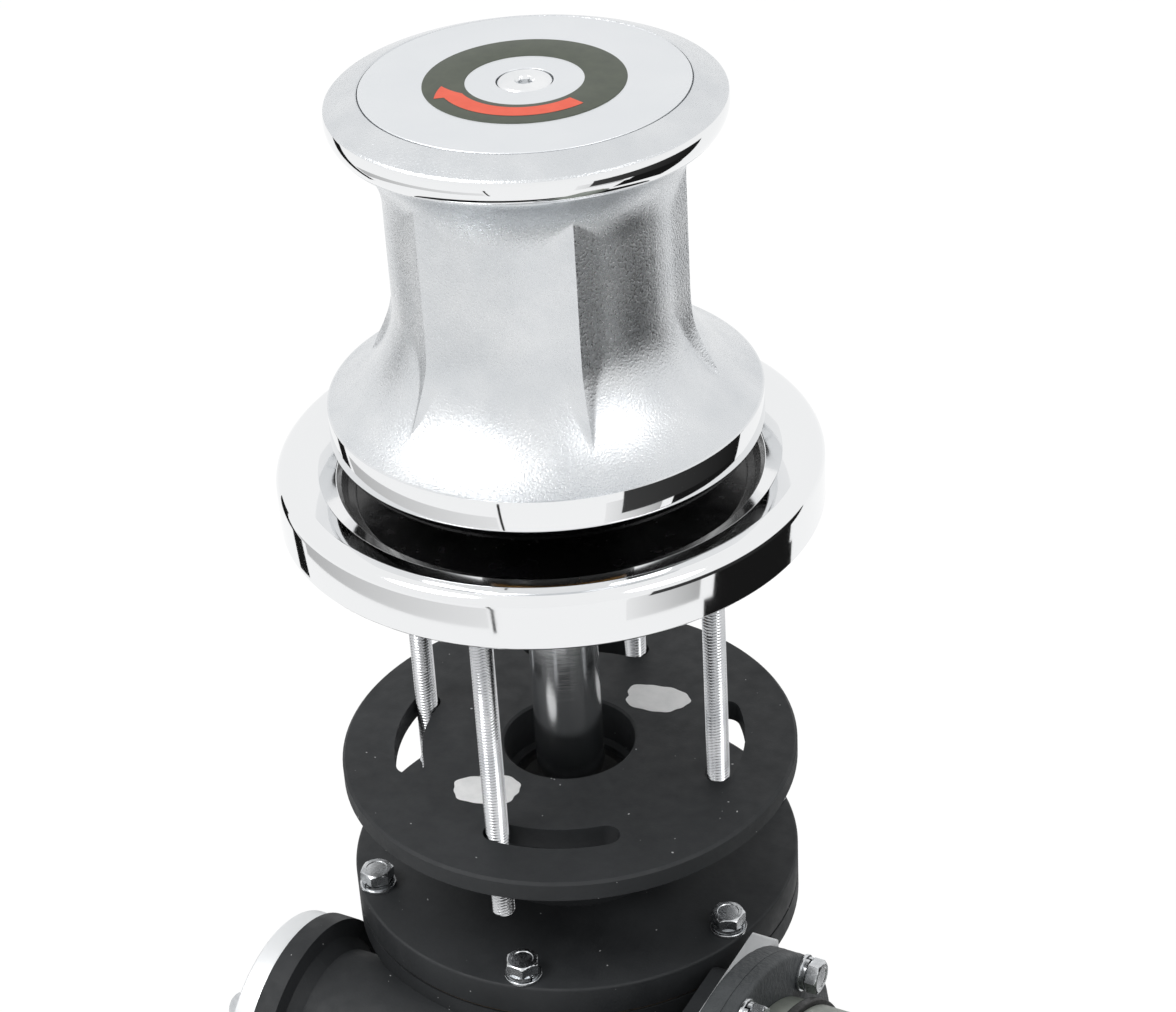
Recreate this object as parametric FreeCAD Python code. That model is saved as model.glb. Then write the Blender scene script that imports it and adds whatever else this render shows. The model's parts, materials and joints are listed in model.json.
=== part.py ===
import FreeCAD, Part
import math
import os

# Vertical deck capstan with an under-deck worm gearbox and an electric motor.
# Millimetres, +Z up, X along the worm and motor axis towards the motor.
# The origin is the centre of the deck plate's underside, where it meets the deck.

# ---------------------------------------------------------------- driving sizes
# main shaft and its running fits
shaft_r = 15.0                 # radius of the main shaft
running = 0.05                 # radial clearance of a shaft in a bush or a seal lip
apart = 0.4                    # gap between parts that pass each other without touching
seat = 0.3                     # gap under a piece that rests on another body

# deck plate
plate_r = 113.0                # outer radius
plate_h = 23.5                 # height of the outer wall to its crest
plate_round = 5.0              # rounding of the crest
crown_r = 105.5                # radius of the crest
dish_r = 95.0                  # radius where the top face turns down to the recess
dish_drop = 2.6                # how far the top face falls from crest to dish_r
recess_r = 87.5                # mouth of the recess under the drum
mouth_z = 16.5                 # height of that mouth
recess_wall_r = 84.0           # recess wall at its floor
plate_floor = 8.0              # thickness of the recess floor
boss_r = 27.0                  # bush housing in the middle
boss_h = 29.0                  # top of that housing
bush_wall = 4.0                # wall of the deck bush
seal_h = 6.0                   # height of a lip seal
washer_h = 2.0                 # thrust washer under the drum
washer_r = 24.0                # thrust washer outer radius

# drum
drum_gap = 0.3                 # running gap between thrust washer and drum hub
skirt_r = 89.0                 # lower rim
skirt_edge = 32.5              # bottom edge of the drum
skirt_turn_z = 38.5            # where the bottom edge's rounding starts
skirt_in = 3.5                 # how far that rounding runs inwards
skirt_top_z = 53.6             # top of the straight band
flare_out_round = 31.0         # convex radius from band to flare
flare_in_round = 26.0          # concave radius from flare to waist
waist_r = 57.3                 # waist between the ribs
throat_round = 25.0            # concave radius from waist to head
head_round = 12.0              # convex radius under the head
head_r = 78.0                  # greatest radius of the head
head_z = 176.8                 # height of that radius
crease_turn = 15.0             # degrees from there up to the crease of the top face
cap_r = 64.0                   # drum cap
cap_fit = 0.15                 # radial gap round the drum cap
cap_top_z = 185.4              # top of the cap and of the drum at the seam
cap_h = 9.0                    # cap thickness
drum_wall = 8.0                # wall of the casting
hub_r = 24.0                   # hub round the shaft
web_h = 14.0                   # web under the cap recess
rib_count = 6
rib_turn = -47.0               # direction of the first rib, degrees from X
rib_half = 10.8                # half width of a rib's foot
rib_crest = ((160.0, 60.5), (135.0, 60.8), (106.0, 62.3), (92.0, 69.5), (80.0, 77.0), (66.0, 86.0))

# cap furniture
label_out_r = 39.3
label_in_r = 22.9
label_h = 0.8
cap_screw_head_r = 10.6
cap_screw_head_h = 3.0
cap_screw_r = 5.0
cap_screw_len = 32.0
cap_screw_socket = 6.0         # across flats

# keys
key_w = 8.0
key_h = 7.0
drum_key_len = 60.0
wheel_key_len = 26.0

# studs and mounting flange
stud_r = 5.0
stud_circle_r = 71.0
stud_count = 4
stud_turn = -88.0              # direction of the first stud, degrees from X
stud_in = 14.0                 # thread engagement in the deck plate
stud_root_r = 4.25             # core of the threaded end in the deck plate
stud_mouth_h = 1.0             # depth of the relief round each stud in the plate's underside
stud_mouth_gap = 0.2           # radial gap of that relief
stud_low_z = -169.0            # free lower end of the studs
stud_boss_r = 11.0
flange_top_z = -126.0
flange_h = 10.0
flange_r = 100.0
flange_edge = 1.2              # chamfer of the flange and the cover
flange_bore_r = 29.0
slot_w = 12.4
slot_sweep = 37.6              # degrees between the centres of a slot's round ends
neck_r = 37.0
neck_wall_r = 20.0             # clear bore of the neck below the seal
neck_foot_r = 46.0
neck_foot_h = 8.0
flange_seal_z = -150.0         # top face of the seal in the neck
flange_seal_r = 26.0
neck_screw_r = 3.0
neck_screw_circle_r = 41.0
neck_screw_count = 4
neck_screw_turn = 45.0

# gearbox cover and its fasteners
cover_top_z = -184.0
cover_h = 15.0
cover_bolt_count = 6
cover_bolt_turn = -17.0
m8_r = 4.0
m8_head_af = 13.0              # across flats
m8_head_h = 5.3
m8_washer_r = 8.0
m8_washer_h = 1.6
m8_spring_r = 7.2
m8_spring_h = 2.2
cover_bolt_grip = 25.0
gasket_h = 1.0

# worm gear
module = 4.0
wheel_teeth = 36               # a multiple of four, so a quarter turn brings tooth onto tooth
worm_pitch_r = 25.0
pressure_angle = 20.0
backlash = 0.45                # taken off each tooth and each thread
tip_clearance = 0.8
wheel_h = 28.0
wheel_rim_in_r = 50.0
wheel_web_h = 12.0
worm_turns = 6                 # turns of thread before its ends are trimmed off; even
worm_axis_z = -246.0
wheel_screw_r = 3.0
wheel_screw_circle_r = 56.0
wheel_screw_count = 6

# bearings: bore radius, outer radius, width
shaft_bearing_out_r = 27.5
shaft_bearing_w = 13.0
worm_bearing_in_r = 12.5
worm_bearing_out_r = 26.0
worm_bearing_w = 15.0
race_wall = 4.5                # radial thickness of a bearing's inner ring

# gearbox housing
wheel_clear = 4.5              # between the wheel's teeth and the bowl
rim_out = 3.5                  # from the bowl's outside to the circle of the cover bolts
rim_edge = 8.0                 # from that circle to the edge of the rim and the cover
bowl_wall = 7.5
rim_h = 12.0                   # bolting rim below the cover
floor_h = 8.0
lower_boss_r = 36.0
tunnel_r = 38.0                # outside of the worm tunnel
tunnel_wall = 7.0
left_flange_r = 50.5
left_flange_x = -91.0          # outer face of the left flange
left_flange_h = 10.0
right_flange_half = 56.0       # half side of the square flange on the motor side
right_flange_x = 101.0         # outer face of the right flange
right_flange_h = 12.0

# end cover, motor plate, adapter
end_cover_r = 49.0
end_cover_h = 10.5
end_bolt_circle_r = 39.0
end_bolt_count = 4
m6_r = 3.0
m6_head_af = 10.0
m6_head_h = 4.0
m6_washer_r = 6.0
m6_washer_h = 1.6
motor_plate_half = 67.5
motor_plate_h = 11.2
motor_plate_corner = 3.0
plate_screw_r = 4.0
plate_screw_head_r = 6.5
plate_screw_half = 44.0        # half spacing of the four plate screws
adapter_r = 91.5
adapter_h = 8.0
motor_flange_h = 6.5
adapter_bore_r = 46.0
adapter_bolt_circle_r = 84.0
adapter_bolt_count = 8

# motor
bell_h = 9.5
band_h = 4.0
can_r = 73.7
bell_step = 0.2                # the can stands out by this much over the bells
band_proud = 2.1               # black seal ring between bell and can, over the can
can_wall = 4.5
can_len = 138.0
rear_bell_h = 20.0
magnet_h = 9.0
magnet_count = 4
magnet_sweep = 66.0
magnet_len = 90.0
air_gap = 1.0
armature_len = 84.0
commutator_r = 22.0
commutator_len = 24.0
motor_shaft_r = 8.5
coupling_r = 16.0
coupling_len = 13.4
brush_w = 10.0
brush_len = 18.0
holder_wall = 2.0
through_bolt_r = 3.0
terminal_r = 4.0
terminal_len = 26.0
terminal_nut_af = 13.0
terminal_nut_h = 6.5
terminal_block = 9.0

# ---------------------------------------------------------------- derived places
pitch = math.pi * module
lead_angle = math.atan(module / (2 * worm_pitch_r))
wheel_pitch_r = module * wheel_teeth / 2
worm_axis_y = -(wheel_pitch_r + worm_pitch_r)
wheel_tip_r = wheel_pitch_r + module
wheel_root_r = wheel_pitch_r - module - tip_clearance
bowl_in_r = wheel_tip_r + wheel_clear
bowl_r = bowl_in_r + bowl_wall
cover_bolt_circle_r = bowl_r + rim_out
cover_r = cover_bolt_circle_r + rim_edge
bell_r = can_r - bell_step
band_r = can_r + band_proud
worm_tip_r = worm_pitch_r + module
worm_root_r = worm_pitch_r - module - tip_clearance
worm_foot_r = worm_root_r - 0.6
flank_slope = math.tan(math.radians(pressure_angle))
worm_half = (pitch / 2 - backlash) / 2
worm_half_in = worm_half + (worm_pitch_r - worm_foot_r) * flank_slope
worm_half_out = worm_half - (worm_tip_r - worm_pitch_r) * flank_slope
worm_len = (worm_turns - 0.75) * pitch

hub_low_z = boss_h + washer_h + drum_gap
cap_floor_z = cap_top_z - cap_h
web_low_z = cap_floor_z - web_h
shaft_top_z = cap_floor_z
flange_low_z = flange_top_z - flange_h
cover_low_z = cover_top_z - cover_h
housing_top_z = cover_low_z - gasket_h
wheel_top_z = worm_axis_z + wheel_h / 2
wheel_low_z = worm_axis_z - wheel_h / 2
lower_bearing_top_z = wheel_low_z - 3.0
lower_bearing_low_z = lower_bearing_top_z - shaft_bearing_w
housing_floor_z = wheel_low_z - 5.0
housing_low_z = lower_bearing_low_z - floor_h
shaft_low_z = lower_bearing_low_z - 1.0 + seat
upper_bearing_top_z = cover_low_z + shaft_bearing_w
race_r = shaft_r + race_wall
worm_race_r = worm_bearing_in_r + race_wall
tunnel_in_r = tunnel_r - tunnel_wall
left_bearing_x = left_flange_x + 4.0
right_bearing_x = right_flange_x - worm_bearing_w - 4.0
plate_x = right_flange_x
adapter_x = plate_x + motor_plate_h
motor_flange_x = adapter_x + adapter_h
bell_x = motor_flange_x + motor_flange_h
can_x = bell_x + bell_h + band_h
rear_x = can_x + can_len
worm_end_x = adapter_x + 7.0
motor_shaft_x = worm_end_x + 1.0

UP = FreeCAD.Vector(0, 0, 1)
ORIGIN = FreeCAD.Vector(0, 0, 0)


# ---------------------------------------------------------------- small helpers
def vec(x, y=0.0, z=0.0):
    return FreeCAD.Vector(x, y, z)


def polar(radius, degrees, z=0.0):
    a = math.radians(degrees)
    return vec(radius * math.cos(a), radius * math.sin(a), z)


def rod(radius, low, high, at=ORIGIN):
    """Round bar along Z from low to high."""
    return Part.makeCylinder(radius, high - low, vec(at.x, at.y, low))


def ring(outer, inner, low, high):
    """Plain ring round Z from low to high."""
    return rod(outer, low, high).cut(rod(inner, low - 1, high + 1))


def turned(*steps):
    """Solid of revolution round Z. A step is (r, z), or (r, z, r_mid, z_mid) for an arc to it."""
    edges = []
    here = vec(steps[0][0], 0, steps[0][1])
    for step in steps[1:] + (steps[0][:2],):
        there = vec(step[0], 0, step[1])
        if len(step) == 4:
            edges.append(Part.Arc(here, vec(step[2], 0, step[3]), there).toShape())
        elif here.distanceToPoint(there) > 1e-6:
            edges.append(Part.LineSegment(here, there).toShape())
        here = there
    return Part.Face(Part.Wire(edges)).revolve(ORIGIN, UP, 360)


def polygon(points):
    return Part.Face(Part.makePolygon(points + [points[0]]))


def hexagon(across_flats, z, turn=0.0):
    corner = across_flats / 2 / math.cos(math.pi / 6)
    return polygon([polar(corner, turn + 60 * k, z) for k in range(6)])


def box(x0, x1, y0, y1, z0, z1):
    return Part.makeBox(x1 - x0, y1 - y0, z1 - z0, vec(x0, y0, z0))


def spun(shape, degrees, about=ORIGIN, axis=UP):
    copy = shape.copy()
    copy.rotate(about, axis, degrees)
    return copy


def moved(shape, x=0.0, y=0.0, z=0.0):
    copy = shape.copy()
    copy.translate(vec(x, y, z))
    return copy


def around(shape, count, turn=0.0):
    """Copies of a shape placed on the X axis, spaced evenly round Z."""
    return [spun(shape, turn + 360.0 * k / count) for k in range(count)]


def fused(first, *others):
    return first.fuse(list(others)).removeSplitter()


def on_worm_axis(shape):
    """Lays a shape built round Z along the worm axis: its Z becomes X, its X becomes up."""
    copy = shape.copy()
    copy.rotate(ORIGIN, vec(0, 1, 0), 90)
    copy.rotate(ORIGIN, vec(1, 0, 0), 180)
    copy.translate(vec(0, worm_axis_y, worm_axis_z))
    return copy


def hex_bolt(radius, across_flats, head_h, length):
    """Hexagon bolt along Z, with the underside of its head at z = 0 and the head above."""
    head = hexagon(across_flats, 0).extrude(vec(0, 0, head_h))
    corner = across_flats / 2 / math.cos(math.pi / 6)
    crown = turned((0, 0), (corner, 0), (corner, head_h * 0.8), (across_flats * 0.47, head_h), (0, head_h))
    shank = turned((0, 0.01), (radius, 0.01), (radius, 1 - length), (radius - 1, -length), (0, -length))
    return fused(head.common(crown), shank)


def socket_screw(radius, head_r, head_h, length, socket_af):
    """Socket head screw along Z, head above z = 0."""
    body = turned((0, head_h), (head_r - 0.6, head_h), (head_r, head_h - 0.6), (head_r, 0),
                  (radius, 0), (radius, 1 - length), (radius - 1, -length), (0, -length))
    socket = hexagon(socket_af, head_h * 0.4).extrude(vec(0, 0, head_h))
    return body.cut(socket)


# ---------------------------------------------------------------- drum and cap
def drum_outline():
    """Outer profile of the drum from the bottom edge up to the seam of the cap."""
    low_c = (skirt_r - flare_out_round, skirt_top_z)
    reach = waist_r + flare_in_round - low_c[0]
    span = flare_out_round + flare_in_round
    waist_low_z = skirt_top_z + math.sqrt(span ** 2 - reach ** 2)
    waist_c = (waist_r + flare_in_round, waist_low_z)
    share = flare_out_round / span
    join_low = (low_c[0] + (waist_c[0] - low_c[0]) * share, low_c[1] + (waist_c[1] - low_c[1]) * share)

    head_c = (head_r - head_round, head_z)
    reach = waist_r + throat_round - head_c[0]
    span = head_round + throat_round
    waist_high_z = head_z - math.sqrt(span ** 2 - reach ** 2)
    throat_c = (waist_r + throat_round, waist_high_z)
    share = head_round / span
    join_high = (head_c[0] + (throat_c[0] - head_c[0]) * share, head_c[1] + (throat_c[1] - head_c[1]) * share)
    crease = math.radians(crease_turn)
    crease_p = (head_c[0] + head_round * math.cos(crease), head_z + head_round * math.sin(crease))

    def between(centre, radius, a, b):
        """Middle point of the shorter arc about a centre between two points."""
        u = vec((a[0] + b[0]) / 2 - centre[0], 0, (a[1] + b[1]) / 2 - centre[1])
        u.normalize()
        return (centre[0] + u.x * radius, centre[1] + u.z * radius)

    band_top = (skirt_r, skirt_top_z)
    low_mid = between(low_c, flare_out_round, band_top, join_low)
    waist_low = (waist_r, waist_low_z)
    flare_mid = between(waist_c, flare_in_round, join_low, waist_low)
    waist_high = (waist_r, waist_high_z)
    throat_mid = between(throat_c, throat_round, waist_high, join_high)
    head_mid = between(head_c, head_round, join_high, crease_p)
    edge_h = skirt_turn_z - skirt_edge
    return [
        (skirt_r - skirt_in, skirt_edge),
        (skirt_r, skirt_turn_z, skirt_r - skirt_in * 0.24, skirt_edge + edge_h * 0.42),
        band_top,
        join_low + low_mid,
        waist_low + flare_mid,
        waist_high,
        join_high + throat_mid,
        crease_p + head_mid,
        (cap_r + cap_fit, cap_top_z),
    ], waist_low_z, waist_high_z


def make_rib(inner_r):
    """One rib of the drum: a roof-shaped bar whose crest follows rib_crest."""
    sections = []
    for z, crest in rib_crest:
        foot = vec(inner_r, 0, z)
        corners = [vec(foot.x, -rib_half, z), vec(waist_r - 0.8, -rib_half, z), vec(crest, 0, z),
                   vec(waist_r - 0.8, rib_half, z), vec(foot.x, rib_half, z)]
        sections.append(Part.makePolygon(corners + [corners[0]]))
    return Part.makeLoft(sections, True, False)


def make_drum():
    outline, waist_low_z, waist_high_z = drum_outline()
    outside = turned((0, skirt_edge), *outline, (0, cap_top_z))
    rib = make_rib(waist_r - drum_wall / 2)
    outside = fused(outside, *around(rib, rib_count, rib_turn))
    inner_r = waist_r - drum_wall
    cavity = turned(
        (0, skirt_edge - 1),
        (skirt_r - drum_wall, skirt_edge - 1),
        (skirt_r - drum_wall, skirt_top_z),
        (inner_r, waist_low_z, skirt_r - drum_wall - 14.0, skirt_top_z + 19.0),
        (inner_r, web_low_z - 6),
        (inner_r - 6, web_low_z),
        (0, web_low_z))
    hub = turned((0, hub_low_z), (hub_r, hub_low_z), (hub_r, web_low_z - 5), (hub_r + 6, web_low_z + 1),
                 (0, web_low_z + 1))
    cap_recess = rod(cap_r + cap_fit, cap_floor_z, cap_top_z + 1)
    bore = rod(shaft_r, hub_low_z - 1, cap_top_z)
    drum = outside.cut(cavity).fuse(hub).cut([cap_recess, bore, key_slot(drum_key_len, shaft_top_z)])
    return drum.removeSplitter()


def key_slot(length, top_z):
    """Space that a key fills, on the -Y side of the shaft, with its top at top_z."""
    depth = shaft_r - key_h / 2
    return box(-key_w / 2, key_w / 2, -(depth + key_h), -depth, top_z - length, top_z)


def make_drum_cap():
    """Flat cap with a shallow seat for the label ring and a counterbore for its screw."""
    cap = turned((0, cap_floor_z), (cap_r, cap_floor_z), (cap_r, cap_top_z - 0.5), (cap_r - 0.5, cap_top_z),
                 (0, cap_top_z + 0.6))
    label_seat = ring(label_out_r + 0.2, label_in_r - 0.2, cap_top_z - label_h * 0.4, cap_top_z + 3)
    screw_seat = rod(cap_screw_head_r + 0.3, cap_top_z - cap_screw_head_h + 0.8, cap_top_z + 3)
    hole = rod(cap_screw_r + 0.3, cap_floor_z - 1, cap_top_z + 3)
    return cap.cut([label_seat, screw_seat, hole])


def make_cap_label():
    low = cap_top_z - label_h * 0.4
    return ring(label_out_r, label_in_r, low, low + label_h)


def make_cap_screw():
    screw = socket_screw(cap_screw_r, cap_screw_head_r, cap_screw_head_h, cap_screw_len, cap_screw_socket)
    return moved(screw, z=cap_top_z - cap_screw_head_h + 0.8)


# ---------------------------------------------------------------- deck plate
def make_deck_plate():
    dish_z = plate_h - dish_drop
    body = turned(
        (0, 0), (plate_r - 1.0, 0), (plate_r, 1.0), (plate_r, plate_h - plate_round),
        (plate_r - plate_round, plate_h, plate_r - plate_round * 0.293, plate_h - plate_round * 0.293),
        (crown_r, plate_h + 0.3),
        (dish_r, dish_z, (crown_r + dish_r) / 2, plate_h - dish_drop * 0.32),
        (recess_r, mouth_z, (dish_r + recess_r) / 2 + 0.7, (dish_z + mouth_z) / 2 + 0.9),
        (recess_wall_r + 1, mouth_z - 2.0),
        (recess_wall_r, plate_floor + 3),
        (recess_wall_r - 3, plate_floor),
        (boss_r + 3, plate_floor),
        (boss_r, plate_floor + 3),
        (boss_r, boss_h),
        (0, boss_h))
    bosses = around(moved(rod(stud_boss_r, 0, stud_in + 3), stud_circle_r), stud_count, stud_turn)
    body = fused(body, *bosses)
    bush_r = shaft_r + running + bush_wall
    stud_holes = around(moved(rod(stud_root_r, -1, stud_in), stud_circle_r), stud_count, stud_turn)
    mouths = around(moved(rod(stud_r + stud_mouth_gap, -1, stud_mouth_h), stud_circle_r), stud_count, stud_turn)
    return body.cut([rod(bush_r, -1, boss_h + 1)] + stud_holes + mouths)


def make_deck_bush():
    inner = shaft_r + running
    return ring(inner + bush_wall, inner, 0.5, boss_h - seal_h)


def make_deck_seal():
    """Lip seal over the bush, with a thin lip that leans on the shaft."""
    inner = shaft_r + running
    outer = inner + bush_wall
    low = boss_h - seal_h
    return turned((inner, low), (outer, low), (outer, boss_h), (outer - 1.2, boss_h), (outer - 1.2, low + 2),
                  (inner + 1.2, low + 2), (inner + 1.2, boss_h - 1), (inner, boss_h - 1.5))


def make_studs():
    stud = turned((0, stud_in), (stud_root_r - 0.7, stud_in), (stud_root_r, stud_in - 0.7), (stud_root_r, 0),
                  (stud_r, 0), (stud_r, stud_low_z + 1), (stud_r - 1, stud_low_z), (0, stud_low_z))
    return around(moved(stud, stud_circle_r), stud_count, stud_turn)


# ---------------------------------------------------------------- main shaft
def make_main_shaft():
    shaft = turned((0, shaft_low_z), (shaft_r - 1, shaft_low_z), (shaft_r, shaft_low_z + 1),
                   (shaft_r, shaft_top_z - 1), (shaft_r - 1, shaft_top_z), (0, shaft_top_z))
    thread_hole = rod(cap_screw_r, cap_top_z - cap_screw_len - 6, shaft_top_z + 1)
    groove = ring(shaft_r + 1, shaft_r - 1.2, wheel_top_z + 0.2, wheel_top_z + 2.0)
    return shaft.cut([thread_hole, groove, key_slot(drum_key_len, shaft_top_z),
                      key_slot(wheel_key_len, worm_axis_z + wheel_key_len / 2)])


def make_circlip():
    """Open spring ring in the shaft groove above the wheel hub."""
    clip = ring(shaft_r + 3.0, shaft_r - 1.2, wheel_top_z + 0.2, wheel_top_z + 2.0)
    return clip.cut(box(-3, 3, 0, shaft_r + 5, wheel_top_z, wheel_top_z + 3))


# ---------------------------------------------------------------- mounting flange
def make_slot(low, high):
    """Curved slot centred on the X axis: an arc band with round ends."""
    half = slot_sweep / 2
    inner, outer = stud_circle_r - slot_w / 2, stud_circle_r + slot_w / 2
    edges = [
        Part.Arc(polar(outer, -half, low), polar(outer, 0, low), polar(outer, half, low)).toShape(),
        Part.Arc(polar(outer, half, low), slot_end(half, low), polar(inner, half, low)).toShape(),
        Part.Arc(polar(inner, half, low), polar(inner, 0, low), polar(inner, -half, low)).toShape(),
        Part.Arc(polar(inner, -half, low), slot_end(-half, low), polar(outer, -half, low)).toShape()]
    return Part.Face(Part.Wire(edges)).extrude(vec(0, 0, high - low))


def slot_end(degrees, z):
    """Outermost point of a slot's round end."""
    centre = polar(stud_circle_r, degrees, z)
    side = 90 if degrees > 0 else -90
    return centre + polar(slot_w / 2, degrees + side)


def make_mounting_flange():
    foot_z = cover_top_z
    flange = turned(
        (neck_wall_r, foot_z), (neck_foot_r, foot_z), (neck_foot_r, foot_z + neck_foot_h),
        (neck_r + 3, foot_z + neck_foot_h), (neck_r, foot_z + neck_foot_h + 3),
        (neck_r, flange_low_z - 4), (neck_r + 4, flange_low_z),
        (flange_r - flange_edge, flange_low_z), (flange_r, flange_low_z + flange_edge),
        (flange_r, flange_top_z - flange_edge), (flange_r - flange_edge, flange_top_z),
        (flange_bore_r + 1, flange_top_z), (flange_bore_r, flange_top_z - 1),
        (flange_bore_r, flange_seal_z + 4), (flange_seal_r, flange_seal_z + 3),
        (flange_seal_r, flange_seal_z - seal_h), (neck_wall_r, flange_seal_z - seal_h))
    # each stud stands at one round end of its slot, so the box can be turned under the deck
    slots = around(make_slot(flange_low_z - 1, flange_top_z + 1), stud_count, stud_turn + slot_sweep / 2)
    holes = around(moved(rod(neck_screw_r, foot_z - 1, foot_z + neck_foot_h - 1), neck_screw_circle_r),
                   neck_screw_count, neck_screw_turn)
    return flange.cut(slots + holes)


def make_flange_seal():
    inner = shaft_r + running
    low = flange_seal_z - seal_h
    return turned((inner, low), (flange_seal_r, low), (flange_seal_r, flange_seal_z),
                  (flange_seal_r - 3, flange_seal_z), (inner + 3, low + 2.5), (inner + 1.5, flange_seal_z - 1),
                  (inner, flange_seal_z - 1.6))


def make_neck_screws():
    """Socket screws that hold the neck down, driven up from inside the gearbox cover."""
    head_z = cover_low_z + 7.0
    length = cover_top_z + neck_foot_h - 1.5 - head_z
    screw = socket_screw(neck_screw_r, 5.0, 6.0, length, 5.0)
    screw = spun(screw, 180, axis=vec(1, 0, 0))
    return around(moved(screw, neck_screw_circle_r, z=head_z), neck_screw_count, neck_screw_turn)


# ---------------------------------------------------------------- gearbox cover
def make_gearbox_cover():
    cover = turned(
        (race_r + 2.5, cover_top_z), (race_r + 2.5, upper_bearing_top_z), (shaft_bearing_out_r, upper_bearing_top_z),
        (shaft_bearing_out_r, cover_low_z), (cover_r, cover_low_z), (cover_r, cover_top_z - flange_edge),
        (cover_r - flange_edge, cover_top_z))
    bolts = around(moved(rod(m8_r + 0.4, cover_low_z - 1, cover_top_z + 1), cover_bolt_circle_r),
                   cover_bolt_count, cover_bolt_turn)
    screws = around(moved(rod(neck_screw_r, cover_low_z - 1, cover_top_z + 1), neck_screw_circle_r),
                    neck_screw_count, neck_screw_turn)
    heads = around(moved(rod(5.2, cover_low_z - 1, cover_low_z + 7.0), neck_screw_circle_r),
                   neck_screw_count, neck_screw_turn)
    return cover.cut(bolts + screws + heads)


def make_cover_gasket():
    gasket = ring(cover_r - 1, bowl_in_r, housing_top_z, cover_low_z)
    holes = around(moved(rod(m8_r + 0.4, housing_top_z - 1, cover_low_z + 1), cover_bolt_circle_r),
                   cover_bolt_count, cover_bolt_turn)
    return gasket.cut(holes)


def cover_fasteners():
    """Hexagon bolts, spring washers and flat washers on the cover, as three lists."""
    at = cover_bolt_circle_r
    flat_top = cover_top_z + m8_washer_h
    spring_top = flat_top + m8_spring_h
    bolt = moved(hex_bolt(m8_r, m8_head_af, m8_head_h, cover_bolt_grip), at, z=spring_top)
    spring = moved(ring(m8_spring_r, m8_r + 0.2, flat_top, spring_top), at)
    flat = moved(ring(m8_washer_r, m8_r + 0.2, cover_top_z, flat_top), at)
    return [around(piece, cover_bolt_count, cover_bolt_turn) for piece in (bolt, spring, flat)]


# ---------------------------------------------------------------- worm gear
def flank(radius):
    """Half angle in radians that a wheel tooth fills at a radius: an involute flank."""
    base = wheel_pitch_r * math.cos(math.radians(pressure_angle))

    def involute(r):
        a = math.acos(min(1.0, base / r))
        return math.tan(a) - a

    half = (pitch / 2 - backlash) / 2 / wheel_pitch_r
    return half + involute(wheel_pitch_r) - involute(max(radius, base))


def make_tooth():
    """One wheel tooth on the X axis, leaning by the worm's lead angle."""
    radii = (wheel_root_r - 1.5, wheel_root_r, wheel_pitch_r - module * 0.4, wheel_pitch_r + module * 0.4, wheel_tip_r)
    side = [(r * math.cos(flank(r)), r * math.sin(flank(r))) for r in radii]
    lean = wheel_h / 2 * math.tan(lead_angle)
    points = [vec(x, -y - lean, wheel_low_z) for x, y in side]
    points += [vec(x, y - lean, wheel_low_z) for x, y in reversed(side)]
    return polygon(points).extrude(vec(0, 2 * lean, wheel_h))


def make_worm_wheel():
    """Bronze toothed rim, bolted to the hub's flange from above."""
    rim = ring(wheel_root_r, wheel_rim_in_r, wheel_low_z, wheel_top_z)
    rim = rim.fuse(around(make_tooth(), wheel_teeth))
    chamfer = turned((0, wheel_low_z), (wheel_tip_r - 2.5, wheel_low_z), (wheel_tip_r + 0.5, wheel_low_z + 3),
                     (wheel_tip_r + 0.5, wheel_top_z - 3), (wheel_tip_r - 2.5, wheel_top_z), (0, wheel_top_z))
    shelf = rod(wheel_screw_circle_r + 6.2, worm_axis_z, wheel_top_z + 1)
    holes = around(moved(rod(wheel_screw_r, wheel_low_z - 1, wheel_top_z), wheel_screw_circle_r), wheel_screw_count)
    return rim.common(chamfer).cut([shelf] + holes)


def make_wheel_hub():
    """Steel hub keyed to the shaft, with a flange that seats in the rim's shelf."""
    half_web = wheel_web_h
    flange_r_hub = wheel_screw_circle_r + 6.0
    hub = turned((shaft_r, wheel_low_z), (hub_r, wheel_low_z), (hub_r + 2, worm_axis_z - 4),
                 (wheel_rim_in_r, worm_axis_z - 4), (wheel_rim_in_r, worm_axis_z), (flange_r_hub, worm_axis_z),
                 (flange_r_hub, worm_axis_z + half_web - 4), (hub_r + 2, worm_axis_z + half_web - 4),
                 (hub_r, wheel_top_z), (shaft_r, wheel_top_z))
    holes = around(moved(rod(wheel_screw_r + 0.3, worm_axis_z - 1, wheel_top_z), wheel_screw_circle_r),
                   wheel_screw_count)
    return hub.cut(holes + [key_slot(wheel_key_len, worm_axis_z + wheel_key_len / 2)])


def make_wheel_spacer():
    return ring(race_r - 0.5, shaft_r, lower_bearing_top_z, wheel_low_z)


def make_wheel_screws():
    head_z = worm_axis_z + wheel_web_h - 4
    screw = socket_screw(wheel_screw_r, 5.0, 5.0, head_z - wheel_low_z - 2, 5.0)
    return around(moved(screw, wheel_screw_circle_r, z=head_z), wheel_screw_count)


def helix_at(radius, z, height):
    helix = Part.makeHelix(pitch, height, radius)
    helix.translate(vec(0, 0, z))
    return Part.Wire(helix)


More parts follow.
